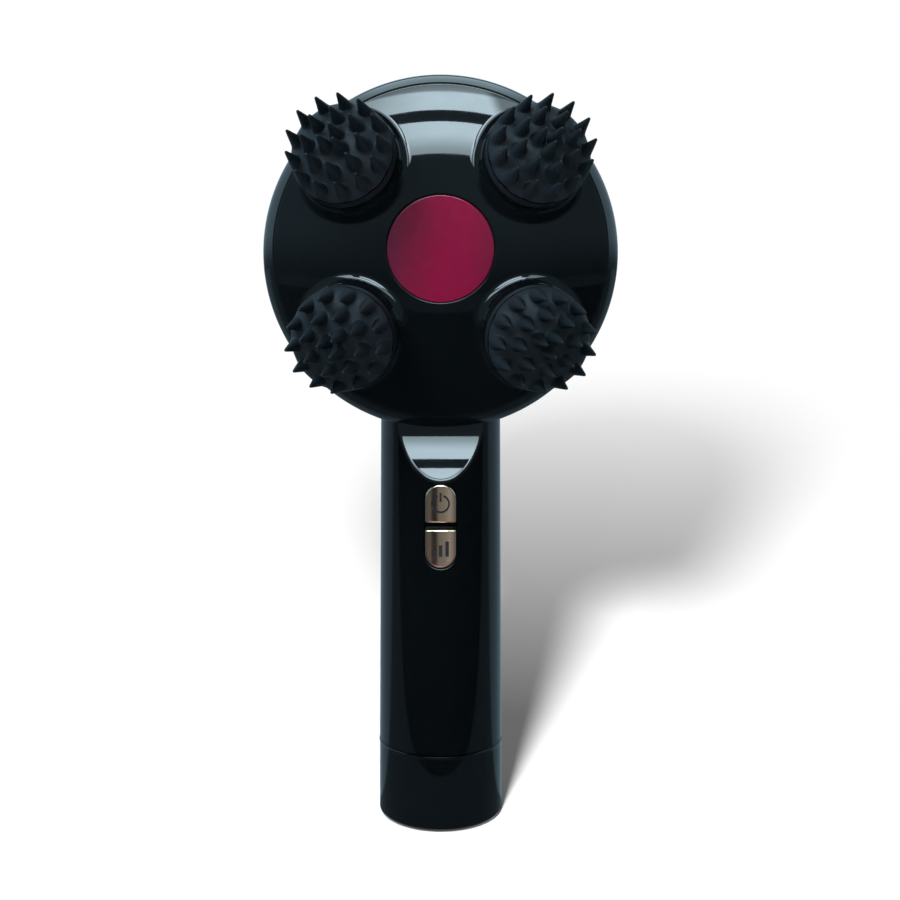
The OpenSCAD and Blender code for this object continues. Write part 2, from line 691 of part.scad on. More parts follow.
module cell_cradle() color([0.2, 0.2, 0.22]) difference() {
    intersection() {
        translate([0, 0, cradle_z]) cylinder(r = bore_r - slip, h = cradle_top - cradle_z);
        translate([-handle_r, -board_n, cradle_z]) cube([2 * handle_r, board_n + 8, cradle_top]);
    }
    translate([0, cell_back, cell_z - 0.3]) cylinder(r = cell_r + slip, h = cradle_top);
    for (p = BOARD_SCREWS) to_front(board_n - 5) translate([p[0], p[1]]) cylinder(r = 0.85, h = 6);
}

module control_board() color("darkgreen") to_front(board_n) difference() {
    translate([-board_w / 2, board_z]) linear_extrude(board_t) square([board_w, board_l]);
    for (p = BOARD_SCREWS) translate([p[0], p[1], -1]) cylinder(r = 0.95, h = 5);
}

module board_screws() color("silver") for (p = BOARD_SCREWS)
    to_front(board_n + board_t) translate([p[0], p[1]]) screw(0.8, 5, 2.8, 0.9);

module controller_chip() color([0.1, 0.1, 0.1]) to_front(board_n + board_t)
    translate([-3.5, board_z + 6]) linear_extrude(1.2) square(7);

module battery_cell() color([0.2, 0.4, 0.7]) translate([0, cell_back, cell_z])
    cylinder(r = cell_r, h = cell_l);

module battery_tabs() color("silver") for (z = [cell_z - 0.3, cell_z + cell_l])
    translate([-2.5, cell_back - cell_r + 1, z]) cube([5, 2 * cell_r - 2, 0.3]);

// ---------------------------------------------------------------- foot

module tail_plug() color([0.15, 0.15, 0.16]) difference() {
    union() {
        translate([0, 0, spigot_z]) cylinder(r = spigot_r, h = tube_z - spigot_z);
        translate([0, 0, tube_z - eps]) cylinder(r = bore_r - slip, h = plug_z - tube_z);
    }
    translate([0, 0, spigot_z + 2]) cylinder(r = bore_r - plug_wall, h = plug_z);
    translate([0, 0, spigot_z - 1]) linear_extrude(4) stadium(socket_w + 2 * slip, socket_t + 2 * slip);
    translate([0, 0, spigot_z + 4]) ring(spigot_r + 1, spigot_r - 1.1, 1.7);
}

module stadium(w, t) {
    square([w - t, t], center = true);
    for (s = [-1, 1]) translate([s * (w - t) / 2, 0]) circle(d = t);
}

module charging_socket() color("silver") {
    difference() {
        translate([0, 0, spigot_z]) linear_extrude(socket_d) stadium(socket_w, socket_t);
        translate([0, 0, spigot_z - 1])
            linear_extrude(socket_d + 0.5) stadium(socket_w - 0.7, socket_t - 0.7);
    }
    translate([-socket_w / 2 + 1.3, -0.35, spigot_z + 1]) cube([socket_w - 2.6, 0.7, socket_d - 1.2]);
}

module charge_board() color("darkgreen")
    translate([-8, socket_t / 2, spigot_z + 2]) cube([16, 1.2, 12]);

module cap_seal() color([0.12, 0.12, 0.12]) translate([0, 0, spigot_z + 4.85])
    rotate_extrude() translate([spigot_r - 0.5, 0]) circle(r = 0.6, $fn = 24);

module end_cap() color([0.02, 0.02, 0.024]) difference() {
    rotate_extrude() polygon(concat(
        [[0, 0]],
        [for (a = [0:15:90]) [handle_r - base_round * (1 - sin(a)), base_round * (1 - cos(a))]],
        [[handle_r, cap_h - 0.8], [handle_r + 0.12, cap_h - 0.5], [handle_r + 0.12, cap_h - 0.15],
         [handle_r - 0.03, cap_h], [0, cap_h]]));
    translate([0, 0, cap_floor]) cylinder(r = cap_bore_r, h = cap_h);
}

// ---------------------------------------------------------------- nodes

rear_housing();
front_cover();
cover_seal();
light_window();
reflector();
led_board();
leds();
massage_head(0);  // massage_head_upper_right
massage_head(1);  // massage_head_upper_left
massage_head(2);  // massage_head_lower_right
massage_head(3);  // massage_head_lower_left
head_hub(0);  // head_hub_upper_right
head_hub(1);  // head_hub_upper_left
head_hub(2);  // head_hub_lower_right
head_hub(3);  // head_hub_lower_left
spindle(0);  // spindle_upper_right
spindle(1);  // spindle_upper_left
spindle(2);  // spindle_lower_right
spindle(3);  // spindle_lower_left
output_gear(0);  // output_gear_upper_right
output_gear(1);  // output_gear_upper_left
output_gear(2);  // output_gear_lower_right
output_gear(3);  // output_gear_lower_left
spindle_bushes();
spindle_seals();
drive_gear();
crown_wheel();
drive_axle();
gearbox_base();
base_screws();
gear_cover();
cover_screws();
motor_can();
motor_gearhead();
motor_mount();
motor_shaft();
motor_pinion();
power_button();
mode_button();
power_switch();
mode_switch();
cell_cradle();
control_board();
board_screws();
controller_chip();
battery_cell();
battery_tabs();
tail_plug();
charging_socket();
charge_board();
cap_seal();
end_cap();
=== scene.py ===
"""Looks of the electric scalp massager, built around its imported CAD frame.

Lengths named here are in millimetres, as in the part's source, and MM turns them into Blender's metres.
"n" is a distance in front of the handle's axis, and the head's own frame is x right, y up, n front.
"""

import json
import math

import bpy
import numpy as np
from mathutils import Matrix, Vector
from mathutils.geometry import delaunay_2d_cdt


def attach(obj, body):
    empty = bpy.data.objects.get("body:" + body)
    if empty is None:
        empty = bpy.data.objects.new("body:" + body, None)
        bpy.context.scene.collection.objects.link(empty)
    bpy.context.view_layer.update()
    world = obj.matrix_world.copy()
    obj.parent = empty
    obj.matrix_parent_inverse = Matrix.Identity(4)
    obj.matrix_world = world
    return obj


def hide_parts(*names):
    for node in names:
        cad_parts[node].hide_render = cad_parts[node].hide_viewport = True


MM = 0.001

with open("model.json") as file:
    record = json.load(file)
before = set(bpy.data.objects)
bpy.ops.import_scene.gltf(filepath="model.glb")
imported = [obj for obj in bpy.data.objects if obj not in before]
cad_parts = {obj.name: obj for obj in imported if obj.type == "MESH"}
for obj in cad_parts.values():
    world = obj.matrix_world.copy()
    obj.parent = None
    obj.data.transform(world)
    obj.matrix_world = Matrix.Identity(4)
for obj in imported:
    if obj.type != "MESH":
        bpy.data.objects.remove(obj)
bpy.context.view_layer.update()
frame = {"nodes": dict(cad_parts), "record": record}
NODES = frame["nodes"]

# ---------------------------------------------------------------- camera

IMAGE_PX = 900
FOCAL_PX = 1085
SENSOR = 36
AXIS_PX = 440.6            # the handle's axis in the photograph
HORIZON_PX = 360           # the camera's level
CAMERA_Y, CAMERA_Z = -0.3003, 0.1237


def make_camera():
    data = bpy.data.cameras.new("camera")
    data.sensor_width = SENSOR
    data.lens = SENSOR * FOCAL_PX / IMAGE_PX
    data.shift_x = 0.5 - AXIS_PX / IMAGE_PX
    data.shift_y = HORIZON_PX / IMAGE_PX - 0.5
    data.clip_start, data.clip_end = 0.01, 100
    camera = bpy.data.objects.new("camera", data)
    camera.location = (0, CAMERA_Y, CAMERA_Z)
    camera.rotation_euler = (math.pi / 2, 0, 0)
    bpy.context.scene.collection.objects.link(camera)
    bpy.context.scene.camera = camera


# ---------------------------------------------------------------- materials

NOISE_DETAIL, NOISE_RANGE = 3, (0.3, 0.7)
PATCH_SIZE = 9              # grains across one of a surface's mottled patches
SMOOTHEST = 0.02
WINDOW_TINTS = (            # metres from the window's middle, and the colour there
    (-0.014, (0.085, 0.009, 0.032)), (-0.008, (0.14, 0.005, 0.030)), (-0.001, (0.183, 0.002, 0.033)),
    (0.007, (0.175, 0.002, 0.032)), (0.014, (0.12, 0.004, 0.026)),
)


def new_material(name):
    material = bpy.data.materials.new(name)
    material.use_nodes = True
    tree = material.node_tree
    return material, tree, tree.nodes["Principled BSDF"]


def add_node(tree, kind, **inputs):
    node = tree.nodes.new(kind)
    for key, value in inputs.items():
        node.inputs[key.replace("_", " ")].default_value = value
    return node


def noise(tree, scale):
    """Noise in the object's own coordinates; scale counts features in a metre."""
    coords = tree.nodes.new("ShaderNodeTexCoord")
    texture = add_node(tree, "ShaderNodeTexNoise", Scale=scale, Detail=NOISE_DETAIL)
    tree.links.new(coords.outputs["Object"], texture.inputs["Vector"])
    return texture.outputs["Fac"]


def spread(tree, value, low, high):
    """Maps a noise value to the range from low to high."""
    start, end = NOISE_RANGE
    node = add_node(tree, "ShaderNodeMapRange", From_Min=start, From_Max=end, To_Min=low, To_Max=high)
    tree.links.new(value, node.inputs["Value"])
    return node.outputs["Result"]


def tint(tree, value, dark, light):
    node = tree.nodes.new("ShaderNodeMix")
    node.data_type = "RGBA"
    node.inputs["A"].default_value = (*dark, 1)
    node.inputs["B"].default_value = (*light, 1)
    tree.links.new(value, node.inputs["Factor"])
    return node.outputs["Result"]


def bump(tree, shader, height, depth_mm):
    node = add_node(tree, "ShaderNodeBump", Strength=1, Distance=depth_mm * MM)
    tree.links.new(height, node.inputs["Height"])
    tree.links.new(node.outputs["Normal"], shader.inputs["Normal"])


def solid(name, color, roughness, mottle=0.12, grain=900, depth=0.02, rough_range=0.06,
          metallic=0.0, ior=1.46):
    """Moulded or machined surface: mottled colour, uneven roughness and a fine grain."""
    material, tree, shader = new_material(name)
    patches = noise(tree, grain / PATCH_SIZE)
    fine = noise(tree, grain)
    dark = [c * (1 - mottle) for c in color]
    light = [c * (1 + mottle) for c in color]
    tree.links.new(tint(tree, patches, dark, light), shader.inputs["Base Color"])
    rough = spread(tree, fine, max(roughness - rough_range, SMOOTHEST), roughness + rough_range)
    tree.links.new(rough, shader.inputs["Roughness"])
    shader.inputs["Metallic"].default_value = metallic
    shader.inputs["IOR"].default_value = ior
    bump(tree, shader, fine, depth)
    return material


def bands(tree, value, stops):
    """Colour that runs through (place, colour) stops along a value."""
    first, last = stops[0][0], stops[-1][0]
    along = add_node(tree, "ShaderNodeMapRange", From_Min=first, From_Max=last)
    node = tree.nodes.new("ShaderNodeValToRGB")
    marks = node.color_ramp.elements
    for k, (at, color) in enumerate(stops):
        mark = marks[k] if k < 2 else marks.new(1)
        mark.position = (at - first) / (last - first)
        mark.color = (*color, 1)
    tree.links.new(value, along.inputs["Value"])
    tree.links.new(along.outputs["Result"], node.inputs["Fac"])
    return node.outputs["Color"]


def window_glass():
    """The light window: wine red, darker and more purple at its left."""
    material = solid("window", (0.2, 0.011, 0.046), 0.14, grain=420, depth=0.003, ior=1.45)
    tree = material.node_tree
    coords = tree.nodes.new("ShaderNodeTexCoord")
    split = tree.nodes.new("ShaderNodeSeparateXYZ")
    tree.links.new(coords.outputs["Object"], split.inputs["Vector"])
    color = bands(tree, split.outputs["X"], WINDOW_TINTS)
    tree.links.new(color, tree.nodes["Principled BSDF"].inputs["Base Color"])
    return material


MATERIALS = {
    "gloss_black": solid("gloss_black", (0.0022, 0.0034, 0.0044), 0.03, grain=160, depth=0.003,
                         rough_range=0.01, ior=1.42),
    "silicone": solid("silicone", (0.0085, 0.0145, 0.0198), 0.52, grain=2600, depth=0.02, ior=1.22),
    "window": window_glass(),
    "gold_chrome": solid("gold_chrome", (0.72, 0.60, 0.46), 0.09, grain=500, depth=0.004,
                         metallic=1.0, rough_range=0.04),
    "seal_rubber": solid("seal_rubber", (0.03, 0.03, 0.03), 0.6, grain=1500),
    "white_plastic": solid("white_plastic", (0.85, 0.85, 0.85), 0.4, mottle=0.03),
    "board_green": solid("board_green", (0.02, 0.12, 0.05), 0.35),
    "led": solid("led", (0.7, 0.12, 0.12), 0.2),
    "hub_grey": solid("hub_grey", (0.15, 0.15, 0.16), 0.5),
    "steel": solid("steel", (0.6, 0.6, 0.62), 0.28, metallic=1.0, depth=0.006),
    "bronze": solid("bronze", (0.6, 0.42, 0.2), 0.4, metallic=1.0),
    "gear_plastic": solid("gear_plastic", (0.85, 0.83, 0.75), 0.45, mottle=0.04),
    "frame_plastic": solid("frame_plastic", (0.5, 0.5, 0.52), 0.5),
    "gearhead_metal": solid("gearhead_metal", (0.5, 0.5, 0.52), 0.35, metallic=1.0),
    "dark_plastic": solid("dark_plastic", (0.04, 0.04, 0.045), 0.5),
    "cell_wrap": solid("cell_wrap", (0.05, 0.16, 0.4), 0.3, mottle=0.05),
    "dark_mark": solid("dark_mark", (0.012, 0.012, 0.014), 0.4),
}
NODE_SLOT = {s["node"]: s["material_slot"] for s in frame["record"]["subparts"]}


def dress(piece, slot):
    piece.data.materials.clear()
    piece.data.materials.append(MATERIALS[slot])


def dress_cad_nodes():
    for name, node in NODES.items():
        if not node.hide_render:
            dress(node, NODE_SLOT[name])


# ---------------------------------------------------------------- sizes
# They are those of the part's source, apart from the scoop, whose skin follows a flatter arc up to
# 0.28 mm away, and BUTTON_PROUD, which is 0.15 mm less. THORN_TIP below is 0.1 mm finer too.

TOTAL_H = 200
HANDLE_R, TAPER, HANDLE_WALL = 16.75, 0.3, 2.35
SCOOP_R, SCOOP_DEPTH, SCOOP_LEAN, SCOOP_WALL = 59.2, 4.2, 12.8, 2
HEAD_R, HEAD_FRONT, HEAD_BACK, HEAD_WALL = 47.4, 14.5, 18.5, 2.2
RIM, SEAT_DEPTH, LEDGE_T, LEDGE_W = 3.5, 4, 2, 2.2
BOWL_POWER = 2.4
DOME_RISE, DOME_POWER, COVER_WALL = 4.5, 3, 2.2
DOME_LIFT, WINDOW_SUNK = 0.3, 0.3
WINDOW_R, WINDOW_T = 14, 2.2
COLLAR_X, COLLAR_Y, COLLAR_N = 24.3, 22.9, 21.3
COLLAR_R, COLLAR_BLEND, HEAD_TILT, SEAL_R = 12.6, 4, 16, 5
PAD_R, SKIRT_H, CROWN_R = 13.5, 4.1, 20
SPIKE_H, SPIKE_R = 7.8, 1.75
SPIKE_RINGS = ((13, 11.7, 2.1), (8, 7.1, 13.3), (3, 2.3, 33.3))    # count, radius, first angle
BUTTON_W, POWER_H, MODE_H, BUTTON_GAP, BUTTON_PROUD = 8.2, 10.1, 10, 1.75, 0.2
MODE_FOOT = -34.9          # from the neck
SLOT_GAP = 0.3
SLIP = 0.05                # gap between pieces that are pushed together
CAP_H, CAP_SEAM, BASE_ROUND, CAP_FLOOR, CAP_BORE_R = 19.9, 0.3, 1.3, 3, 14.9
SPINDLES = {                # side of the head: its signs, and how far its massage head is turned
    "upper_right": (1, 1, 0), "upper_left": (-1, 1, 164.5),
    "lower_right": (1, -1, 124.6), "lower_left": (-1, -1, 18),
}

HEAD_Z = TOTAL_H - HEAD_R
SEAT_N = HEAD_FRONT - SEAT_DEPTH
COVER_R = HEAD_R - RIM
DOME_TOP = HEAD_FRONT + DOME_LIFT + DOME_RISE
WINDOW_N = DOME_TOP - WINDOW_SUNK
TUBE_Z = CAP_H + CAP_SEAM
BORE_R = HANDLE_R - HANDLE_WALL
NECK_Z = HEAD_Z - HEAD_R - 1
NECK_R = HANDLE_R - TAPER
SCOOP_N = NECK_R - SCOOP_DEPTH + SCOOP_R * math.cos(math.radians(SCOOP_LEAN))
SCOOP_Z = NECK_Z + SCOOP_R * math.sin(math.radians(SCOOP_LEAN))
MODE_Z = NECK_Z + MODE_FOOT
POWER_Z = MODE_Z + MODE_H + BUTTON_GAP
CROWN_MID = SKIRT_H + 0.4 - math.sqrt(CROWN_R ** 2 - PAD_R ** 2)

# ---------------------------------------------------------------- frames

HANDLE_FRAME = np.eye(4)
HEAD_FRAME = np.array([[1, 0, 0, 0], [0, 0, -1, 0], [0, 1, 0, HEAD_Z], [0, 0, 0, 1.0]])


def turn(axis, degrees):
    """A rotation about y or z as a 4 x 4 matrix."""
    c, s = math.cos(math.radians(degrees)), math.sin(math.radians(degrees))
    matrix = np.eye(4)
    i, j = ((0, 1) if axis == "z" else (2, 0))
    matrix[i, i], matrix[i, j], matrix[j, i], matrix[j, j] = c, -s, s, c
    return matrix


def spindle_in_head(sx, sy):
    """The frame of a spindle: its third axis runs along it and starts at the top of its collar."""
    az = math.degrees(math.atan2(sy * COLLAR_Y, sx * COLLAR_X))
    move = np.eye(4)
    move[:3, 3] = (sx * COLLAR_X, sy * COLLAR_Y, COLLAR_N)
    return move @ turn("z", az) @ turn("y", HEAD_TILT) @ turn("z", -az)


def moved(matrix, points):
    return points @ matrix[:3, :3].T + matrix[:3, 3]


def turned(matrix, directions):
    return directions @ matrix[:3, :3].T


def unit(vectors):
    return vectors / np.maximum(np.linalg.norm(vectors, axis=-1, keepdims=True), 1e-12)


# ---------------------------------------------------------------- mesh building


class Skin:
    """One piece's mesh in millimetres, gathered patch by patch, each with its exact normals."""

    def __init__(self, matrix=HANDLE_FRAME):
        self.matrix = matrix
        self.points, self.normals, self.faces, self.slots = [], [], [], []
        self.count = 0

    def add(self, points, normals, faces, slot=0):
        points = np.asarray(points, float).reshape(-1, 3)
        normals = unit(np.asarray(normals, float).reshape(-1, 3))
        corners = points[faces]
        across = np.cross(corners[:, 2] - corners[:, 0], corners[:, -1] - corners[:, 1])
        flip = (across * normals[faces].sum(1)).sum(1) < 0
        faces = np.where(flip[:, None], faces[:, ::-1], faces) + self.count
        self.points.append(moved(self.matrix, points))
        self.normals.append(turned(self.matrix, normals))
        self.faces += faces.tolist()
        self.slots += [slot] * len(faces)
        self.count += len(points)

    def grid(self, points, normals, slot=0, wrap=True):
        """Rows of points; with wrap, each row closes on itself."""
        rows, columns = np.shape(points)[:2]
        index = np.arange(rows * columns).reshape(rows, columns)
        nxt = np.roll(index, -1, 1)
        quads = np.stack([index[:-1], nxt[:-1], nxt[1:], index[1:]], -1)
        if not wrap:
            quads = quads[:, :-1]
        self.add(points, normals, quads.reshape(-1, 4), slot)

    def revolve(self, profile, steps=96, slot=0):
        """Turns a profile of (radius, height) points and normals about the third axis."""
        points, normals = profile
        a = np.linspace(0, 2 * math.pi, steps, endpoint=False)
        rings = [np.stack([np.outer(q[:, 0], np.cos(a)), np.outer(q[:, 0], np.sin(a)),
                           np.repeat(q[:, 1:], steps, 1)], -1) for q in (points, normals)]
        self.grid(*rings, slot)

    def build(self, name, slots, body, *nodes, place=HANDLE_FRAME):
        mesh = bpy.data.meshes.new(name)
        mesh.from_pydata(moved(place, np.vstack(self.points)) * MM, [], self.faces)
        for slot in slots:
            mesh.materials.append(MATERIALS[slot])
        mesh.polygons.foreach_set("material_index", self.slots)
        mesh.polygons.foreach_set("use_smooth", [True] * len(self.faces))
        mesh.normals_split_custom_set_from_vertices(turned(place, np.vstack(self.normals)))
        piece = bpy.data.objects.new(name, mesh)
        bpy.context.scene.collection.objects.link(piece)
        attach(piece, body)
        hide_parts(*nodes)
        return piece


def rounded(corners, radii, step=12, closed=False):
    """A line with rounded corners, as points and the normals on the left of its travel."""
    corners = [np.array(c, float) for c in corners]
    points, normals = [], []
    last = len(corners) - 1
    for i, (corner, radius) in enumerate(zip(corners, radii)):
        before = unit(corner - corners[i - 1]) if i or closed else None
        after = unit(corners[(i + 1) % len(corners)] - corner) if i < last or closed else None
        if before is None or after is None:
            along = after if before is None else before
            points.append(corner)
            normals.append((-along[1], along[0]))
            continue
        a0 = math.atan2(before[1], before[0])
        bend = math.remainder(math.atan2(after[1], after[0]) - a0, 2 * math.pi)
        back = radius * math.tan(abs(bend) / 2)
        side = math.copysign(1, bend)
        centre = corner - before * back + side * radius * np.array([-before[1], before[0]])
        steps = max(2, math.ceil(abs(math.degrees(bend)) / step))
        for k in range(steps + 1):
            a = a0 + bend * k / steps
            normal = np.array([-math.sin(a), math.cos(a)])
            points.append(centre - side * radius * normal)
            normals.append(normal)
    return np.array(points), np.array(normals)


def joined(*profiles):
    return tuple(np.vstack([p[k] for p in profiles]) for k in (0, 1))


def inside(points, loop):
    """Whether each flat point lies inside the closed loop."""
    x, y = points[:, :1], points[:, 1:]
    a, b = loop, np.roll(loop, -1, 0)
    crosses = (a[:, 1] > y) != (b[:, 1] > y)
    rise = np.where(b[:, 1] == a[:, 1], 1, b[:, 1] - a[:, 1])
    at = a[:, 0] + (y - a[:, 1]) * (b[:, 0] - a[:, 0]) / rise
    return (crosses & (x < at)).sum(1) % 2 == 1


def triangulate(outline, holes, fill):
    """Flat triangles inside the outline and outside the holes, through the fill points."""

    def kept(points):
        keep = inside(points, outline)
        for hole in holes:
            keep &= ~inside(points, hole)
        return keep

    loops = [outline, *holes]
    points = np.vstack([*loops, fill[kept(fill)]])
    edges, start = [], 0
    for loop in loops:
        edges += [(start + k, start + (k + 1) % len(loop)) for k in range(len(loop))]
        start += len(loop)
    result = delaunay_2d_cdt([Vector(p) for p in points], edges, [], 0, 1e-7, False)
    points = np.array([tuple(p) for p in result[0]])
    faces = np.array(result[2])
    return points, faces[kept(points[faces].mean(1))]


def circle(radius, steps, centre=(0, 0)):
    a = np.linspace(0, 2 * math.pi, steps, endpoint=False)
    return np.stack([centre[0] + radius * np.cos(a), centre[1] + radius * np.sin(a)], -1)


def rings_of_points(r_from, r_to, spacing):
    """Points spread over a flat ring."""
    rows = max(1, round((r_to - r_from) / spacing))
    radii = np.linspace(r_from, r_to, rows + 1)
    return np.vstack([circle(r, max(6, round(2 * math.pi * r / spacing))) for r in radii])


# ---------------------------------------------------------------- front cover

EDGE_ROUND = 0.3            # softened edge of the cover at the seam
WINDOW_EDGE = 0.35
COLLAR_ROUND = 1.1
COLLAR_STEPS, BLEND_STEPS = 120, 8
NEWTON_STEPS, HALVINGS = 12, 22      # of the searches for the dome under a spindle and for a blend
FEET_R = COVER_R - EDGE_ROUND - 0.05    # how far out a collar's blend may reach
UNDER_N = HEAD_FRONT + 0.5  # underside of the collars where they reach over the rim
RING_OUT_R, RING_IN_R, RING_T = WINDOW_R + 2.4, WINDOW_R - 1.5, 2    # ring behind the window's seat


def dome_n(r, drop=0):
    return DOME_TOP - drop - DOME_RISE * (r / COVER_R) ** DOME_POWER


def dome_normal(x, y):
    r = np.hypot(x, y)
    slope = DOME_RISE * DOME_POWER / COVER_R * (r / COVER_R) ** (DOME_POWER - 1)
    out = slope / np.maximum(r, 1e-9)
    return unit(np.stack([x * out, y * out, np.ones_like(r)], -1))


def dome_under_spindle(matrix, rho, a):
    """Where lines along a spindle meet the dome: distance along it, the dome's normal and radius."""
    t = np.full_like(rho, -5.0)
    for _ in range(NEWTON_STEPS):
        p = moved(matrix, np.stack([rho * np.cos(a), rho * np.sin(a), t], -1))
        normal = dome_normal(p[:, 0], p[:, 1])
        miss = p[:, 2] - dome_n(np.hypot(p[:, 0], p[:, 1]))
        t = t - miss * normal[:, 2] / (normal @ matrix[:3, 2])
    return t, turned(matrix[:3, :3].T, normal), np.hypot(p[:, 0], p[:, 1])


def blend_feet(matrix, a):
    """Radius of a collar's blend at each azimuth, its foot on the dome, the dome's lean and normal.

    The last value says where even a sharp corner would lie beyond the limit.
    """
    low, high = np.zeros_like(a), np.full_like(a, 2.0 * COLLAR_BLEND)
    for _ in range(HALVINGS):
        blend = np.minimum((low + high) / 2, COLLAR_BLEND)
        lean = np.zeros_like(a)
        for _ in range(3):
            rho = COLLAR_R + blend * (1 + np.sin(lean))
            t, normal, r = dome_under_spindle(matrix, rho, a)
            lean = np.arctan2(-(normal[:, 0] * np.cos(a) + normal[:, 1] * np.sin(a)), normal[:, 2])
        high = np.where(r > FEET_R, (low + high) / 2, high)
        low = np.where(r > FEET_R, low, (low + high) / 2)
    return blend, t, lean, normal, r > FEET_R


def collar(skin, matrix):
    """Skins one collar with its blend and gives the outline of its foot on the dome."""
    a = np.linspace(0, 2 * math.pi, COLLAR_STEPS, endpoint=False)
    cos_a, sin_a = np.cos(a), np.sin(a)
    blend, t, lean, normal, beyond = blend_feet(matrix, a)
    wall = moved(matrix, np.stack([COLLAR_R * cos_a, COLLAR_R * sin_a, 0 * a], -1))
    low_t = np.where(beyond, (UNDER_N - wall[:, 2]) / matrix[2, 2], t)
    blend = np.where(beyond, 0, blend)
    lean = np.where(beyond, 0, lean)
    sideways = normal[:, 1] * cos_a - normal[:, 0] * sin_a
    centre_t = low_t + blend * np.cos(lean)

    def ring(rho, t, n_rho, n_side, n_t):
        spot = np.stack([rho * cos_a, rho * sin_a, t], -1)
        way = np.stack([n_rho * cos_a - n_side * sin_a, n_rho * sin_a + n_side * cos_a, n_t], -1)
        return spot, way

    rows = []
    for k in range(BLEND_STEPS + 1):
        left = 1 - k / BLEND_STEPS
        bend = (math.pi / 2 + lean) * left
        side = np.where(beyond, 0, sideways * left ** 2)
        rows.append(ring(COLLAR_R + blend * (1 - np.cos(bend)), centre_t - blend * np.sin(bend),
                         np.where(beyond, 1, np.cos(bend)), side, np.where(beyond, 0, np.sin(bend))))
    corners = [(COLLAR_R, -3), (COLLAR_R, 0), (SEAL_R, 0), (SEAL_R, -2)]
    top, top_n = rounded(corners, [0, COLLAR_ROUND, 0.3, 0])
    for (r, h), (nr, nh) in zip(top[1:], -top_n[1:]):
        rows.append(ring(r + 0 * a, h + 0 * a, nr + 0 * a, 0 * a, nh + 0 * a))
    points, normals = (np.stack([row[k] for row in rows]) for k in (0, 1))
    skin.grid(moved(matrix, points), turned(matrix, normals))
    foot = moved(matrix, points[0])[:, :2]
    return foot * np.minimum(1, FEET_R / np.linalg.norm(foot, axis=1))[:, None]


def cover_inside():
    """Profile of the cover's edge and inside, from the seam round to the window's hole."""
    edge = COVER_R - EDGE_ROUND
    inner = COVER_R - COVER_WALL
    corners = [(edge - 0.1, dome_n(edge)), (COVER_R, dome_n(COVER_R)), (COVER_R, SEAT_N),
               (inner, SEAT_N), (inner, dome_n(inner, COVER_WALL))]
    down = rounded(corners, [0, EDGE_ROUND, 0.2, 0.2, 0])
    r = np.linspace(inner, RING_OUT_R, 16)
    under = np.stack([r, dome_n(r, COVER_WALL)], -1)
    under_n = -dome_normal(r, 0 * r)[:, [0, 2]]
    ledge = WINDOW_N - WINDOW_T
    hole = WINDOW_R + SLIP
    corners = [(RING_OUT_R, ledge - RING_T), (RING_IN_R, ledge - RING_T), (RING_IN_R, ledge),
               (hole, ledge), (hole, dome_n(hole)), (hole + 1, dome_n(hole + 1))]
    up = rounded(corners, [0, 0.1, 0.1, 0.05, WINDOW_EDGE, 0])
    up = tuple(q[:-1] for q in up)
    return joined(down, (under, under_n), up)


def make_front_cover():
    skin = Skin(HEAD_FRAME)
    feet = [collar(skin, spindle_in_head(sx, sy)) for sx, sy, _ in SPINDLES.values()]
    hole = circle(WINDOW_R + SLIP + WINDOW_EDGE, 120)
    fill = rings_of_points(WINDOW_R + 1.4, COVER_R - 1.2, 1.1)
    points, faces = triangulate(circle(COVER_R - EDGE_ROUND, 240), [hole, *feet], fill)
    x, y = points.T
    skin.add(np.stack([x, y, dome_n(np.hypot(x, y))], -1), dome_normal(x, y), faces)
    skin.revolve(cover_inside(), 160)
    return skin.build("front_cover_skin", ["gloss_black"], "massager_body", "front_cover")


# ---------------------------------------------------------------- rear housing

RIM_FLAT, RIM_SLOPE = 0.4, 44     # the flat beside the seam, and the slope that follows it
WIDEST_N = HEAD_FRONT - RIM - 0.8
SCOOP_BLEND = 0.4
SCOOP_LINES, SCOOP_REACH, SCOOP_SPOTS = 31, 1.8, 110    # points laid along the scoop's edge
SKIN_STEP, SKIN_TOP = 1.6, 140     # spacing of the tube's points, and the height where they end
SLOT_BEVEL = 0.3


def bowl(r_most, front, depth, steps=48):
    """Quarter of a superellipse from the widest point to the middle of the back."""
    a = np.linspace(0, math.pi / 2, steps + 1)
    r, n = np.cos(a) ** (2 / BOWL_POWER), np.sin(a) ** (2 / BOWL_POWER)
    normals = np.stack([r ** (BOWL_POWER - 1) / r_most, -n ** (BOWL_POWER - 1) / depth], -1)
    return np.stack([r_most * r, front - depth * n], -1), unit(normals)


def rim():
    """The head's edge: steep beside the seam, then round to its widest point."""
    start = np.array([COVER_R + SLIP + RIM_FLAT, HEAD_FRONT])
    end = np.array([HEAD_R, WIDEST_N])
    knee = np.array([HEAD_R, HEAD_FRONT - (HEAD_R - start[0]) * math.tan(math.radians(RIM_SLOPE))])
    t = np.linspace(0, 1, 17)[:, None]
    points = (1 - t) ** 2 * start + 2 * t * (1 - t) * knee + t ** 2 * end
    along = (1 - t) * (knee - start) + t * (end - knee)
    return points, unit(np.stack([-along[:, 1], along[:, 0]], -1))


def bowl_outside():
    """Profile from the cover's seat over the rim to the middle of the head's back."""
    seat_r = COVER_R + SLIP
    ledge_r = COVER_R - LEDGE_W
    corners = [(ledge_r, SEAT_N - LEDGE_T), (ledge_r, SEAT_N), (seat_r, SEAT_N),
               (seat_r, HEAD_FRONT), (seat_r + RIM_FLAT, HEAD_FRONT)]
    seat = rounded(corners, [0, 0.2, 0.1, 0.04, 0])
    return joined(seat, rim(), bowl(HEAD_R, WIDEST_N, HEAD_BACK + WIDEST_N))


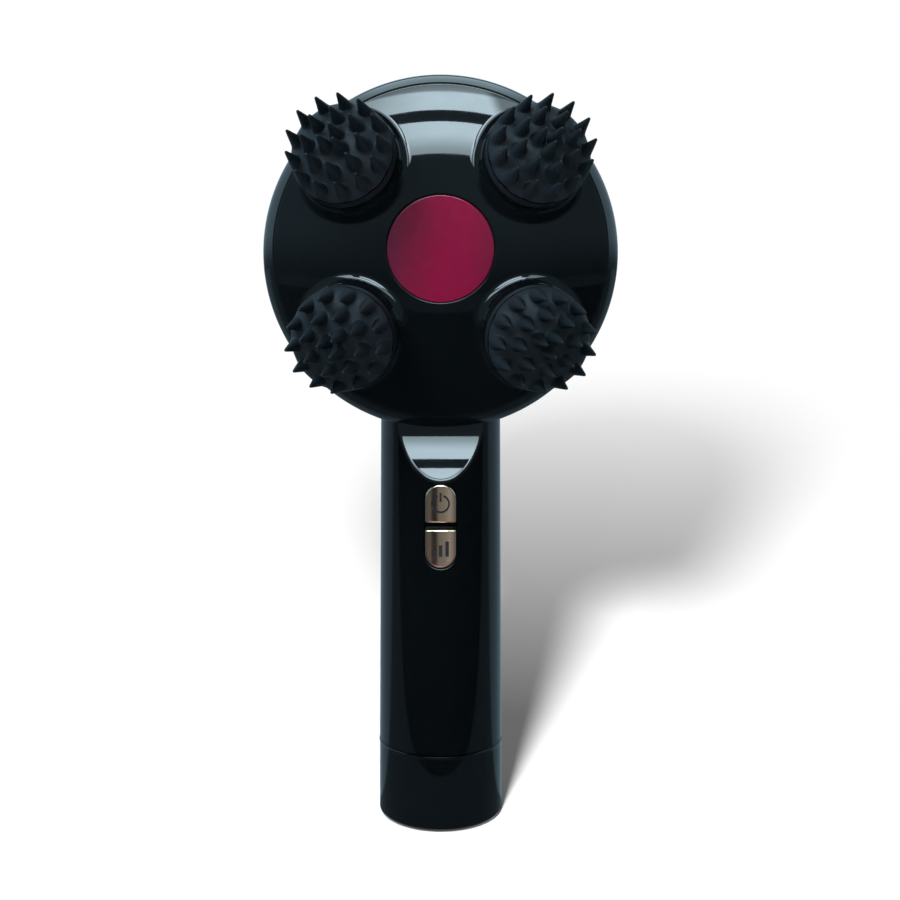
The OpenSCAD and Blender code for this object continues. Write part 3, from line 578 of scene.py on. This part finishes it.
def bowl_inside():
    front = SEAT_N - LEDGE_T
    shape = bowl(HEAD_R - HEAD_WALL, front, HEAD_BACK - HEAD_WALL + front)
    lip = rounded([(COVER_R - LEDGE_W, front), (HEAD_R - HEAD_WALL, front)], [0, 0])
    return joined((lip[0], -lip[1]), (shape[0], -shape[1]))


def bowl_radius(n):
    """Outer radius of the head at a distance n in front of the handle's axis."""
    front = HEAD_FRONT - RIM
    back = np.clip((front - n) / (HEAD_BACK + front), 0, 1)
    edge = np.clip((n - front) / RIM, 0, 1)
    return HEAD_R * (1 - back ** BOWL_POWER) ** (1 / BOWL_POWER) - RIM * (1 - np.sqrt(1 - edge ** 2))


def cone_radius(z):
    return HANDLE_R - TAPER * (z - TUBE_Z) / (NECK_Z + 4 - TUBE_Z)


def tube_point(az, z, wall=0, scoop_wall=0):
    """The tube's surface: a slight cone, cut in front by the scoop with a softened edge."""
    cone = cone_radius(z) if wall == 0 else BORE_R
    reach = np.sqrt(np.maximum((SCOOP_R + scoop_wall) ** 2 - (z - SCOOP_Z) ** 2, 0))
    cut = (SCOOP_N - reach) / np.maximum(np.cos(az), 0.2)
    near = np.maximum(SCOOP_BLEND - np.abs(cone - cut), 0) / SCOOP_BLEND
    rho = np.minimum(cone, cut) - near ** 2 * SCOOP_BLEND / 4
    return np.stack([rho * np.sin(az), -rho * np.cos(az), z + 0 * rho], -1)


def tube_normal(az, z, *walls):
    step = 1e-4
    round_way = tube_point(az + step, z, *walls) - tube_point(az - step, z, *walls)
    up_way = tube_point(az, z + 10 * step, *walls) - tube_point(az, z - 10 * step, *walls)
    return unit(np.cross(round_way, up_way))


def head_underside(az):
    """Height at which the tube enters the head's wall."""
    x, n = NECK_R * np.sin(az), NECK_R * np.cos(az)
    n = np.minimum(n, NECK_R - SCOOP_DEPTH)
    return HEAD_Z - np.sqrt(np.maximum(bowl_radius(n) ** 2 - x ** 2, 1))


def scoop_edge(offset):
    """Points beside the scoop's edge, at an offset across it, as unrolled (arc, height) pairs."""
    foot = SCOOP_Z - math.sqrt(SCOOP_R ** 2 - (SCOOP_N - HANDLE_R + TAPER * 0.8) ** 2)
    s = np.linspace(0, 1, SCOOP_SPOTS) ** 1.6
    z = foot + (HEAD_Z - HEAD_R + 1 - foot) * s
    cut = SCOOP_N - np.sqrt(SCOOP_R ** 2 - (z - SCOOP_Z) ** 2)
    arc = HANDLE_R * np.arccos(np.clip(cut / cone_radius(z), -1, 1))
    line = np.vstack([np.stack([-arc, z], -1)[::-1], np.stack([arc, z], -1)[1:]])
    along = unit(np.gradient(line, axis=0))
    return line + offset * np.stack([along[:, 1], -along[:, 0]], -1)


def slot_outline(more, steps=20):
    """The two-button slot seen from the front, widened by more."""
    r = BUTTON_W / 2
    x, low, high = r + more, MODE_Z - more, POWER_Z + POWER_H + more
    corners = [(-x, low), (x, low), (x, high), (-x, high)]
    return rounded(corners, [r + more - 1e-3] * 4, 90 / steps, closed=True)


def tube_skin(skin, slot_more, *walls):
    """The tube's outside or, with its walls given, its inside."""
    half = math.pi * HANDLE_R
    az = np.linspace(-math.pi, math.pi, 97)
    top = np.stack([HANDLE_R * az, head_underside(az) + 1], -1)[::-1]
    low = np.stack([HANDLE_R * az, TUBE_Z + 0 * az], -1)
    side = np.linspace(TUBE_Z, top[0, 1], 60)[1:-1]
    right = np.stack([half + 0 * side, side], -1)
    outline = np.vstack([low, right, top, right[::-1] * (-1, 1)])
    u, z = np.meshgrid(np.linspace(-half, half, 97), np.arange(TUBE_Z + 1, SKIN_TOP, SKIN_STEP))
    fill = [np.stack([u.ravel(), z.ravel()], -1)]
    fill += [scoop_edge(d) for d in np.linspace(-SCOOP_REACH, SCOOP_REACH, SCOOP_LINES)]
    x, z = slot_outline(slot_more)[0].T
    hole = np.stack([HANDLE_R * np.arcsin(x / HANDLE_R), z], -1)
    points, faces = triangulate(outline, [hole], np.vstack(fill))
    az, z = points[:, 0] / HANDLE_R, points[:, 1]
    normals = tube_normal(az, z, *walls)
    skin.add(tube_point(az, z, *walls), -normals if walls else normals, faces)


def slot_wall(skin):
    """Bevelled edge and side wall of the buttons' slot."""
    rows = []
    for k in range(6):
        a = math.radians(18 * k)
        outline, inward = slot_outline(SLOT_GAP + SLOT_BEVEL * (1 - math.sin(a)))
        x, z = outline.T
        az = np.arcsin(x / HANDLE_R)
        surface, out = tube_point(az, z), tube_normal(az, z)
        inward = np.stack([inward[:, 0], 0 * x, inward[:, 1]], -1)
        spot = surface + [0, SLOT_BEVEL * (1 - math.cos(a)), 0]
        rows.append((spot, math.cos(a) * out + math.sin(a) * inward))
    deep = rows[-1][0] + [0, HANDLE_WALL, 0]
    rows.append((deep, rows[-1][1]))
    skin.grid([r[0] for r in rows], [r[1] for r in rows])


def make_rear_housing():
    skin = Skin()
    tube_skin(skin, SLOT_GAP + SLOT_BEVEL)
    tube_skin(skin, SLOT_GAP, HANDLE_WALL, SCOOP_WALL)
    slot_wall(skin)
    corners = [(BORE_R, TUBE_Z + 1), (BORE_R, TUBE_Z), (HANDLE_R, TUBE_Z), (HANDLE_R, TUBE_Z + 0.3)]
    foot = rounded(corners, [0, 0.1, 0.15, 0])
    skin.revolve((foot[0], -foot[1]), 96)
    skin.matrix = HEAD_FRAME
    skin.revolve(bowl_outside(), 200)
    skin.revolve(bowl_inside(), 96)
    return skin.build("rear_housing_skin", ["gloss_black"], "massager_body", "rear_housing")


# ---------------------------------------------------------------- end cap and light window

CAP_LIP = 0.12              # how far the cap's upper edge stands out


def make_end_cap():
    skin = Skin()
    lip = HANDLE_R + CAP_LIP
    corners = [(0, CAP_FLOOR), (CAP_BORE_R, CAP_FLOOR), (CAP_BORE_R, CAP_H), (HANDLE_R - 0.03, CAP_H),
               (lip, CAP_H - 0.15), (lip, CAP_H - 0.5), (HANDLE_R, CAP_H - 0.8), (HANDLE_R, 0), (0, 0)]
    radii = [0, 1, 0.3, 0.06, 0.08, 0.15, 0.4, BASE_ROUND, 0]
    skin.revolve(rounded(corners, radii), 144)
    return skin.build("end_cap_skin", ["gloss_black"], "end_cap", "end_cap")


def make_light_window():
    skin = Skin(HEAD_FRAME)
    back = WINDOW_N - WINDOW_T
    corners = [(0, WINDOW_N), (WINDOW_R, WINDOW_N), (WINDOW_R, back), (0, back)]
    skin.revolve(rounded(corners, [0, 0.35, 0.2, 0]), 144)
    return skin.build("light_window_skin", ["window"], "massager_body", "light_window")


# ---------------------------------------------------------------- massage heads

PAD_EDGE = 1.4              # rounding between crown and skirt
PAD_FOOT, PAD_UNDER = 0.4, 2.2    # height of the skirt's lower edge, and how far it turns in there
PAD_STEPS = 150
PAD_RIM = PAD_R - 0.04      # where the top's height field ends and the skirt begins
THORN_TIP, THORN_FLARE = 0.4, 1.3    # round tip of a spike, and how softly its foot meets the crown
THORN_RINGS = (0, 0.12, 0.22, 0.31, 0.37, 0.42, 0.5, 0.62, 0.8, 1, 1.25, 1.45, 1.6, 1.75, 1.9, 2.1, 2.45)


def crown_height(r):
    """Height of the cap's top: a sphere whose edge is rounded over into the skirt."""
    sphere = CROWN_MID + np.sqrt(np.maximum(CROWN_R ** 2 - r ** 2, 1))
    inward = np.clip((r - PAD_R + PAD_EDGE) / PAD_EDGE, 0, 1)
    return sphere - PAD_EDGE * 0.55 * (1 - np.sqrt(1 - inward ** 2))


def spike_places():
    for count, radius, first in SPIKE_RINGS:
        for k in range(count):
            a = math.radians(first + 360 * k / count)
            yield radius * math.cos(a), radius * math.sin(a)


def thorn(d):
    """Height of a spike over the crown at a distance from its middle: a cone on a hollow foot."""
    shoulder = SPIKE_H - THORN_TIP
    side = shoulder * (SPIKE_R - d) / (SPIKE_R - THORN_TIP)
    tip = shoulder + np.sqrt(np.maximum(THORN_TIP ** 2 - d ** 2, 0))
    return np.where(d < THORN_TIP * 0.95, tip, (side + np.hypot(side, THORN_FLARE)) / 2)


def pad_height(x, y):
    crown = crown_height(np.hypot(x, y))
    total = 0
    for sx, sy in spike_places():
        rise = thorn(np.hypot(x - sx, y - sy))
        stretch = (SPIKE_H + crown_height(math.hypot(sx, sy)) - crown) / SPIKE_H
        total = total + (rise * stretch) ** 2
    return crown + np.sqrt(total)


def pad_normal(x, y):
    step = 5e-3
    slope_x = (pad_height(x + step, y) - pad_height(x - step, y)) / (2 * step)
    slope_y = (pad_height(x, y + step) - pad_height(x, y - step)) / (2 * step)
    return unit(np.stack([-slope_x, -slope_y, np.ones_like(x)], -1))


def pad_points():
    """Points for the cap's top: rings round each spike, each kept to its own spike, and the edge."""
    centres = np.array(list(spike_places()))
    groups = []
    for k, centre in enumerate(centres):
        rings = [circle(r, 1 if r == 0 else 12 if r < 0.3 else 20, centre) for r in THORN_RINGS]
        spots = np.vstack(rings)
        gaps = np.linalg.norm(spots[:, None] - centres[None], axis=2)
        groups.append(spots[gaps.argmin(1) == k])
    between = rings_of_points(0.4, PAD_RIM - 1.2, 0.7)
    gaps = np.linalg.norm(between[:, None] - centres[None], axis=2)
    groups.append(between[gaps.min(1) > THORN_RINGS[-1] + 0.2])
    groups += [circle(r, PAD_STEPS) for r in PAD_RIM - np.array([0.9, 0.6, 0.38, 0.2, 0.08])]
    return np.vstack(groups)


def pad_skin():
    """A massage head in its spindle's frame."""
    skin = Skin()
    edge = circle(PAD_RIM, PAD_STEPS)
    spots, faces = triangulate(edge, [], pad_points())
    x, y = spots.T
    skin.add(np.stack([x, y, pad_height(x, y)], -1), pad_normal(x, y), faces)
    x, y = edge.T
    out = edge / PAD_RIM
    flat = 0 * x
    rows = [(np.stack([x, y, pad_height(x, y)], -1), pad_normal(x, y))]
    corners = [(PAD_R, 3.2), (PAD_R, PAD_FOOT), (PAD_R - PAD_UNDER, PAD_FOOT)]
    side = rounded(corners, [0, 0.4, 0])
    for (r, height), (n_out, n_up) in zip(*side):
        rows.append((np.stack([r * out[:, 0], r * out[:, 1], flat + height], -1),
                     np.stack([-n_out * out[:, 0], -n_out * out[:, 1], flat - n_up], -1)))
    skin.grid([row[0] for row in rows], [row[1] for row in rows])
    return skin


def make_massage_heads():
    skin = pad_skin()
    for side, (sx, sy, phase) in SPINDLES.items():
        place = HEAD_FRAME @ spindle_in_head(sx, sy) @ turn("z", phase)
        name = "massage_head_" + side
        skin.build(name + "_skin", ["silicone"], "head_" + side, name, place=place)


# ---------------------------------------------------------------- buttons

BUTTON_BEVEL, MARK_DEPTH = 0.5, 0.3
MARK_OUT, MARK_IN, MARK_GAP = 2.45, 1.95, 1.5    # of the power mark, whose gap lies at its top
BAR_STEP = 1.7              # between the mode mark's bars
FLANGE_T = 1
FLANGE_N = math.sqrt(BORE_R ** 2 - (BUTTON_W / 2 + SLOT_GAP + 1.2) ** 2) - 0.3


def block(x, low, high, r_low, r_high, inset=0):
    """Outline of a block with rounded lower and upper corners; its normals point inward."""
    side, bottom, top = x - inset, low + inset, high - inset
    corners = [(-side, bottom), (side, bottom), (side, top), (-side, top)]
    radii = [max(r - inset, 0.05) for r in (r_low, r_low, r_high, r_high)]
    return rounded(corners, radii, 6, closed=True)


def button_front(x):
    return np.sqrt((HANDLE_R + BUTTON_PROUD) ** 2 - x ** 2)


def front_normal(x):
    return np.stack([x, -button_front(x), 0 * x], -1) / (HANDLE_R + BUTTON_PROUD)


def sweep(skin, outline, profile, curved, slot=0):
    """Carries a profile of (outward, depth) points round an outline seen from the front."""
    rows = []
    for (out, depth), (n_out, n_up) in zip(*profile):
        (x, z), inward = outline(-out)[0].T, outline(-out)[1]
        front = button_front(x) if curved else 0 * x
        up = front_normal(x) if curved else np.array([0, -1, 0])
        away = -np.stack([inward[:, 0], 0 * x, inward[:, 1]], -1)
        rows.append((np.stack([x, -(front + depth), z], -1), n_out * away + n_up * up))
    skin.grid([r[0] for r in rows], [r[1] for r in rows], slot)


def power_marks(z):
    """An open ring with a bar in its gap."""
    gap = math.degrees(math.asin(MARK_GAP / (MARK_OUT + MARK_IN)))
    a = np.radians(np.linspace(90 + gap, 450 - gap, 40))
    arc = np.stack([np.cos(a), np.sin(a)], -1)
    bar = block(0.27, 0.5, 2.9, 0.1, 0.1)[0]
    return [np.vstack([MARK_OUT * arc, MARK_IN * arc[::-1]]) + (0, z), bar + (0, z)]


def mode_marks(z):
    """Three bars of growing height."""
    return [block(0.45, -2, k, 0.12, 0.12)[0] + ((k - 1) * BAR_STEP, z) for k in range(3)]


def make_button(name, low, high, r_low, r_high, marks):
    """A curved gold face with sunk dark marks, and the flange that holds it behind the slot."""
    skin = Skin()
    middle = (low + high) / 2
    holes = marks(middle)

    def outline(inset):
        return block(BUTTON_W / 2, low, high, r_low, r_high, inset)

    side = rounded([(-BUTTON_BEVEL, 0), (0, 0), (0, -3)], [0, BUTTON_BEVEL, 0])
    sweep(skin, outline, tuple(q[1:] for q in side), True)
    grid = np.stack(np.meshgrid(np.arange(-4, 4.1, 0.5), np.arange(low, high, 0.5)), -1).reshape(-1, 2)
    face = outline(BUTTON_BEVEL)[0]
    for edge, cuts, depth, slot in [(face, holes, 0, 0)] + [(h, [], MARK_DEPTH, 1) for h in holes]:
        spots, faces = triangulate(edge, cuts, grid)
        x, z = spots.T
        skin.add(np.stack([x, depth - button_front(x), z], -1), front_normal(x), faces, slot)
    for hole in holes:
        x, z = hole.T
        along = np.roll(hole, -1, 0) - np.roll(hole, 1, 0)
        inward = np.stack([-along[:, 1], 0 * x, along[:, 0]], -1)
        rows = [np.stack([x, d - button_front(x), z], -1) for d in (0, MARK_DEPTH)]
        skin.grid(rows, [inward, inward], 1)
    wide = BUTTON_W / 2 + SLOT_GAP + 0.9

    def flange_outline(inset):
        return block(wide, low - 0.3, high + 0.3, 0.5, 0.5, inset)

    back = FLANGE_N - FLANGE_T
    corners = [(-wide + 0.1, FLANGE_N), (0, FLANGE_N), (0, back), (-wide + 0.1, back)]
    sweep(skin, flange_outline, rounded(corners, [0, 0.15, 0.15, 0]), False, 2)
    skin.build(name + "_skin", ["gold_chrome", "dark_mark", "dark_plastic"], name, name)


def make_buttons():
    r = BUTTON_W / 2 - 0.15
    make_button("power_button", POWER_Z, POWER_Z + POWER_H, 0.5, r, power_marks)
    make_button("mode_button", MODE_Z, MODE_Z + MODE_H, r, 0.5, mode_marks)


# ---------------------------------------------------------------- stage

FLOOR_SIZE = 30
WHITE_WORLD, AMBIENT = 1.0, 0.36
TENT_R, TENT_SPLIT, TENT_TOP = 4, 0.15, 5      # metres: a cloth tent that only reflections see
TENT_STEPS, FOOT_H = 72, 0.8
CLOTH = (0.55, 0.82, 1)
TOP_COLOR, TOP_LEVELS = (0.62, 0.85, 0.95), (3.2, 0.4)
TOP_CORE, TOP_SIDE, TOP_NEAR, TOP_FAR, TOP_Z = 1.2, 3.4, 0.2, 3, 4.9


def panel(name, points, faces, material):
    mesh = bpy.data.meshes.new(name)
    mesh.from_pydata([Vector(p) for p in points], [], faces)
    mesh.materials.append(material)
    piece = bpy.data.objects.new(name, mesh)
    bpy.context.scene.collection.objects.link(piece)
    return piece


def only_reflected(piece):
    piece.visible_camera = False
    piece.visible_diffuse = False
    piece.visible_transmission = False
    piece.visible_shadow = False
    piece.visible_volume_scatter = False


def flat_card(name, sides, first, last, material):
    """A four-cornered card from left to right, between two (y, z) edges; only reflections see it."""
    (x0, x1), (y0, z0), (y1, z1) = sides, first, last
    card = panel(name, [(x0, y0, z0), (x1, y0, z0), (x1, y1, z1), (x0, y1, z1)], [(0, 1, 2, 3)], material)
    only_reflected(card)
    return card


def glowing(name, color):
    """An emission material; gives the material, its tree and the emission's strength socket."""
    material = bpy.data.materials.new(name)
    material.use_nodes = True
    tree = material.node_tree
    tree.nodes.clear()
    shader = add_node(tree, "ShaderNodeEmission", Color=(*color, 1))
    output = tree.nodes.new("ShaderNodeOutputMaterial")
    tree.links.new(shader.outputs["Emission"], output.inputs["Surface"])
    return material, tree, shader.inputs["Strength"]


def ramp(tree, value, start, end, low, high):
    node = add_node(tree, "ShaderNodeMapRange", From_Min=start, From_Max=end, To_Min=low, To_Max=high)
    node.interpolation_type = "SMOOTHSTEP"
    tree.links.new(value, node.inputs["Value"])
    return node.outputs["Result"]


def math_node(tree, operation, *values):
    node = tree.nodes.new("ShaderNodeMath")
    node.operation = operation
    for socket, value in zip(node.inputs, values):
        if isinstance(value, (int, float)):
            socket.default_value = value
        else:
            tree.links.new(value, socket)
    return node.outputs["Value"]


def spot_in_world(tree):
    """X, Y and Z of the shaded spot."""
    split = tree.nodes.new("ShaderNodeSeparateXYZ")
    geometry = tree.nodes.new("ShaderNodeNewGeometry")
    tree.links.new(geometry.outputs["Position"], split.inputs["Vector"])
    return [split.outputs[k] for k in "XYZ"]


def tent_cloth(name, front, back, start, end, foot=1):
    """Cloth that is dark on the camera's side and turns lighter behind the object.

    It does so between the azimuths start and end, and its foot is dimmed by the last factor.
    """
    material, tree, strength = glowing(name, CLOTH)
    x, y, z = spot_in_world(tree)
    azimuth = math_node(tree, "ARCTAN2", math_node(tree, "ABSOLUTE", x), math_node(tree, "MULTIPLY", y, -1))
    level = ramp(tree, azimuth, math.radians(start), math.radians(end), front, back)
    rise = ramp(tree, z, TENT_SPLIT, TENT_SPLIT + FOOT_H, foot, 1)
    tree.links.new(math_node(tree, "MULTIPLY", level, rise), strength)
    return material


def tent_band(name, lower, upper, material):
    """A band between two rings, each given by its radius and height."""
    points = [(x, y, z) for r, z in (lower, upper) for x, y in circle(r, TENT_STEPS)]
    after = [(i + 1) % TENT_STEPS for i in range(TENT_STEPS)]
    faces = [(i, k, TENT_STEPS + k, TENT_STEPS + i) for i, k in enumerate(after)]
    only_reflected(panel(name, points, faces, material))


def make_tent():
    low = tent_cloth("low_cloth", 0.14, 0.42, 99, 106)
    high = tent_cloth("high_cloth", 0.36, 1.15, 84, 96, 0.2)
    roof = tent_cloth("roof_cloth", 0.1, 0.1, 84, 96)
    tent_band("tent_floor", (HANDLE_R * MM, MM), (TENT_R, MM), low)
    tent_band("tent_low_wall", (TENT_R, 0), (TENT_R, TENT_SPLIT), low)
    tent_band("tent_high_wall", (TENT_R, TENT_SPLIT), (TENT_R, TENT_TOP), high)
    tent_band("tent_roof", (0.01, TENT_TOP), (TENT_R, TENT_TOP), roof)


def make_top_light():
    """A soft light under the tent's roof, behind the object, brightest in its middle."""
    material, tree, strength = glowing("top_light", TOP_COLOR)
    x = math_node(tree, "ABSOLUTE", spot_in_world(tree)[0])
    tree.links.new(ramp(tree, x, TOP_CORE, TOP_SIDE, *TOP_LEVELS), strength)
    flat_card("top_light", (-TOP_SIDE, TOP_SIDE), (TOP_NEAR, TOP_Z), (TOP_FAR, TOP_Z), material)


PANE_Y, PANE_LEVEL = -3, 0.15
PANE_COLOR, PANE_STRENGTH = (0.70, 0.90, 1.0), 20
PANE_LOW, BAR_LOW, BAR_HIGH, PANE_HIGH, LINTEL = 22.3, 32.9, 37.3, 44.8, 56    # elevations
PANE_SIDE, FRAME_SIDE, OUTER_SIDE = 12.5, 18.5, 30                  # azimuths of its upright edges


def reach(degrees):
    """Distance across the window's plane that an angle spans from the object."""
    return -PANE_Y * math.tan(math.radians(degrees))


def pane_material():
    """Daylight in a window: dimmer low down, above its top and to the sides, a little uneven."""
    material, tree, strength = glowing("daylight", PANE_COLOR)
    x, _, z = spot_in_world(tree)
    low, high = PANE_LEVEL + reach(PANE_LOW), PANE_LEVEL + reach(PANE_HIGH)
    level = spread(tree, noise(tree, 3), 0.96, 1.03)
    fades = (
        (z, low, low + 0.45, 0.5, 1),
        (z, high - 0.03, high + 0.1, 1, 0.36),
        (z, high + 0.1, high + 0.4, 1, 0.7),
        (x, -1.6, 0, 0.45, 1),
        (x, 0.72, 1.0, 1, 0.3),
    )
    for value, start, end, before, after in fades:
        level = math_node(tree, "MULTIPLY", level, ramp(tree, value, start, end, before, after))
    tree.links.new(math_node(tree, "MULTIPLY", level, PANE_STRENGTH), strength)
    return material


def make_window_light():
    """A bright window with a dark frame, in front of the object and above it."""
    material = pane_material()
    panes = [(-PANE_SIDE, PANE_SIDE, PANE_LOW, BAR_LOW), (-OUTER_SIDE, OUTER_SIDE, BAR_HIGH, LINTEL),
             (-OUTER_SIDE, -FRAME_SIDE, PANE_LOW, BAR_HIGH), (FRAME_SIDE, OUTER_SIDE, PANE_LOW, BAR_HIGH)]
    for k, (left, right, low, high) in enumerate(panes):
        bottom, top = PANE_LEVEL + reach(low), PANE_LEVEL + reach(high)
        flat_card(f"pane_{k}", (reach(left), reach(right)), (PANE_Y, bottom), (PANE_Y, top), material)


def make_world():
    """Plain ambient light; the camera, reflections and glass see a white background."""
    world = bpy.data.worlds.new("world")
    bpy.context.scene.world = world
    world.use_nodes = True
    tree = world.node_tree
    background = tree.nodes["Background"]
    background.inputs["Color"].default_value = (1, 1, 1, 1)
    path = tree.nodes.new("ShaderNodeLightPath")
    seen = path.outputs["Is Camera Ray"]
    for kind in ("Is Glossy Ray", "Is Transmission Ray"):
        seen = math_node(tree, "MAXIMUM", seen, path.outputs[kind])
    level = add_node(tree, "ShaderNodeMapRange", To_Min=AMBIENT, To_Max=WHITE_WORLD)
    tree.links.new(seen, level.inputs["Value"])
    tree.links.new(level.outputs["Result"], background.inputs["Strength"])


SHADOW_LAMP, SHADOW_LAMP_R, SHADOW_POWER = (-0.048, -0.269, 0.206), 0.022, 134
FLOOR_LEVEL, FLOOR_ALBEDO = 1.02, 0.43
LAMP_SHARE, LAMP_FADE = 1.42, 0.72    # the lamp's part of the floor's light, and how it fades


def make_floor():
    """A pale floor: its own glow makes up for the shadow lamp's light as this fades with distance."""
    material, tree, shader = new_material("pale_floor")
    shader.inputs["Base Color"].default_value = (FLOOR_ALBEDO, FLOOR_ALBEDO, FLOOR_ALBEDO, 1)
    shader.inputs["Roughness"].default_value = 0.9
    shader.inputs["Specular IOR Level"].default_value = 0
    shader.inputs["Emission Color"].default_value = (1, 1, 1, 1)
    squares = SHADOW_LAMP[2] ** 2
    for value, middle in zip(spot_in_world(tree)[:2], SHADOW_LAMP):
        away = math_node(tree, "SUBTRACT", value, middle)
        squares = math_node(tree, "ADD", math_node(tree, "MULTIPLY", away, away), squares)
    steepness = math_node(tree, "DIVIDE", SHADOW_LAMP[2], math_node(tree, "SQRT", squares))
    share = math_node(tree, "MULTIPLY", LAMP_SHARE, math_node(tree, "POWER", steepness, LAMP_FADE))
    glow = math_node(tree, "SUBTRACT", FLOOR_LEVEL - FLOOR_ALBEDO * AMBIENT, share)
    tree.links.new(math_node(tree, "MAXIMUM", glow, 0), shader.inputs["Emission Strength"])
    half = FLOOR_SIZE / 2
    corners = [(-half, -half, 0), (half, -half, 0), (half, half, 0), (-half, half, 0)]
    return panel("floor", corners, [(0, 1, 2, 3)], material)


def lamp(name, kind, energy, location, target, **settings):
    data = bpy.data.lights.new(name, kind)
    data.energy = energy
    for key, value in settings.items():
        setattr(data, key, value)
    light = bpy.data.objects.new(name, data)
    light.location = location
    aim = Vector(target) - Vector(location)
    light.rotation_euler = aim.to_track_quat("-Z", "Y").to_euler()
    bpy.context.scene.collection.objects.link(light)
    light.visible_glossy = False
    return light


def only_for(light, objects, name):
    """The light falls on these objects alone; everything still casts its shadow."""
    group = bpy.data.collections.new(name)
    for o in objects:
        group.objects.link(o)
    light.light_linking.receiver_collection = group


GLOW_Y, GLOW_SIDE = -2.9, 2.6
GREY_TONES = ((-0.56, 0.1), (-0.34, 0.12), (-0.25, 0.03), (-0.14, 0.03), (-0.06, 0.18), (0.14, 0.22),
              (0.3, 0.32), (0.44, 0.2), (0.56, 0.1))
PINK_TONES = ((-0.5, 0.05), (-0.3, 0.7), (0.1, 0.6), (0.4, 0.2))
GLOW_CARDS = (                # corners at the left; tint; tones by how far sideways a spot lies
    ("front", (GLOW_Y, 2 * MM), (-0.3, 2 * MM), (1, 1, 1), GREY_TONES),
    ("near", (-0.3, 2 * MM), (-0.05, 2 * MM), (1, 0.6, 0.7), PINK_TONES),
    ("over", (GLOW_Y, 4.7), (-0.4, 4.7), (1, 1, 1), ((-1, 0.9), (1, 0.9))),
)


def make_button_glow(buttons):
    """Cards on the floor and overhead that only the buttons reflect."""
    for name, first, last, color, tones in GLOW_CARDS:
        material, tree, strength = glowing("button_" + name, color)
        x, y, _ = spot_in_world(tree)
        sideways = math_node(tree, "DIVIDE", x, math_node(tree, "MULTIPLY", y, -1))
        stops = [(at, (tone, tone, tone)) for at, tone in tones]
        tree.links.new(bands(tree, sideways, stops), strength)
        card = flat_card("button_" + name, (-GLOW_SIDE, GLOW_SIDE), first, last, material)
        only_for(card, buttons, "lit_by_" + name)


def make_shadow_lamp(floor):
    """A small lamp near the camera for the floor alone; its light fades as slowly as the floor expects."""
    light = lamp("shadow_lamp", "POINT", SHADOW_POWER, SHADOW_LAMP, (0, 0, 0),
                 shadow_soft_size=SHADOW_LAMP_R)
    light.visible_camera = False
    light.data.use_nodes = True
    tree = light.data.node_tree
    falloff = add_node(tree, "ShaderNodeLightFalloff", Strength=1)
    path = tree.nodes.new("ShaderNodeLightPath")
    reach_out = math_node(tree, "DIVIDE", path.outputs["Ray Length"], SHADOW_LAMP[2])
    gain = math_node(tree, "POWER", reach_out, 1 - LAMP_FADE)
    level = math_node(tree, "MULTIPLY", falloff.outputs["Constant"], gain)
    tree.links.new(level, tree.nodes["Emission"].inputs["Strength"])
    only_for(light, [floor], "lit_by_shadow_lamp")


def make_lights(pieces):
    top = lamp("soft_top", "AREA", 1.0, (-0.15, -0.16, 0.33), (0, 0, 0.16), size=0.12)
    side = lamp("soft_side", "AREA", 0.3, (0.6, -0.6, 0.35), (0, 0, 0.12), size=0.6)
    only_for(top, pieces, "lit_by_top")
    only_for(side, pieces, "lit_by_side")


# ---------------------------------------------------------------- assembly

make_camera()
dress_cad_nodes()
make_front_cover()
make_rear_housing()
make_end_cap()
make_light_window()
make_massage_heads()
make_buttons()
pieces = [o for o in bpy.context.scene.objects if o.type == "MESH"]
make_world()
make_tent()
make_top_light()
make_window_light()
make_button_glow([o for o in pieces if o.name.endswith("_button_skin")])
make_lights(pieces)
make_shadow_lamp(make_floor())

scene = bpy.context.scene
scene.view_settings.view_transform = "Standard"
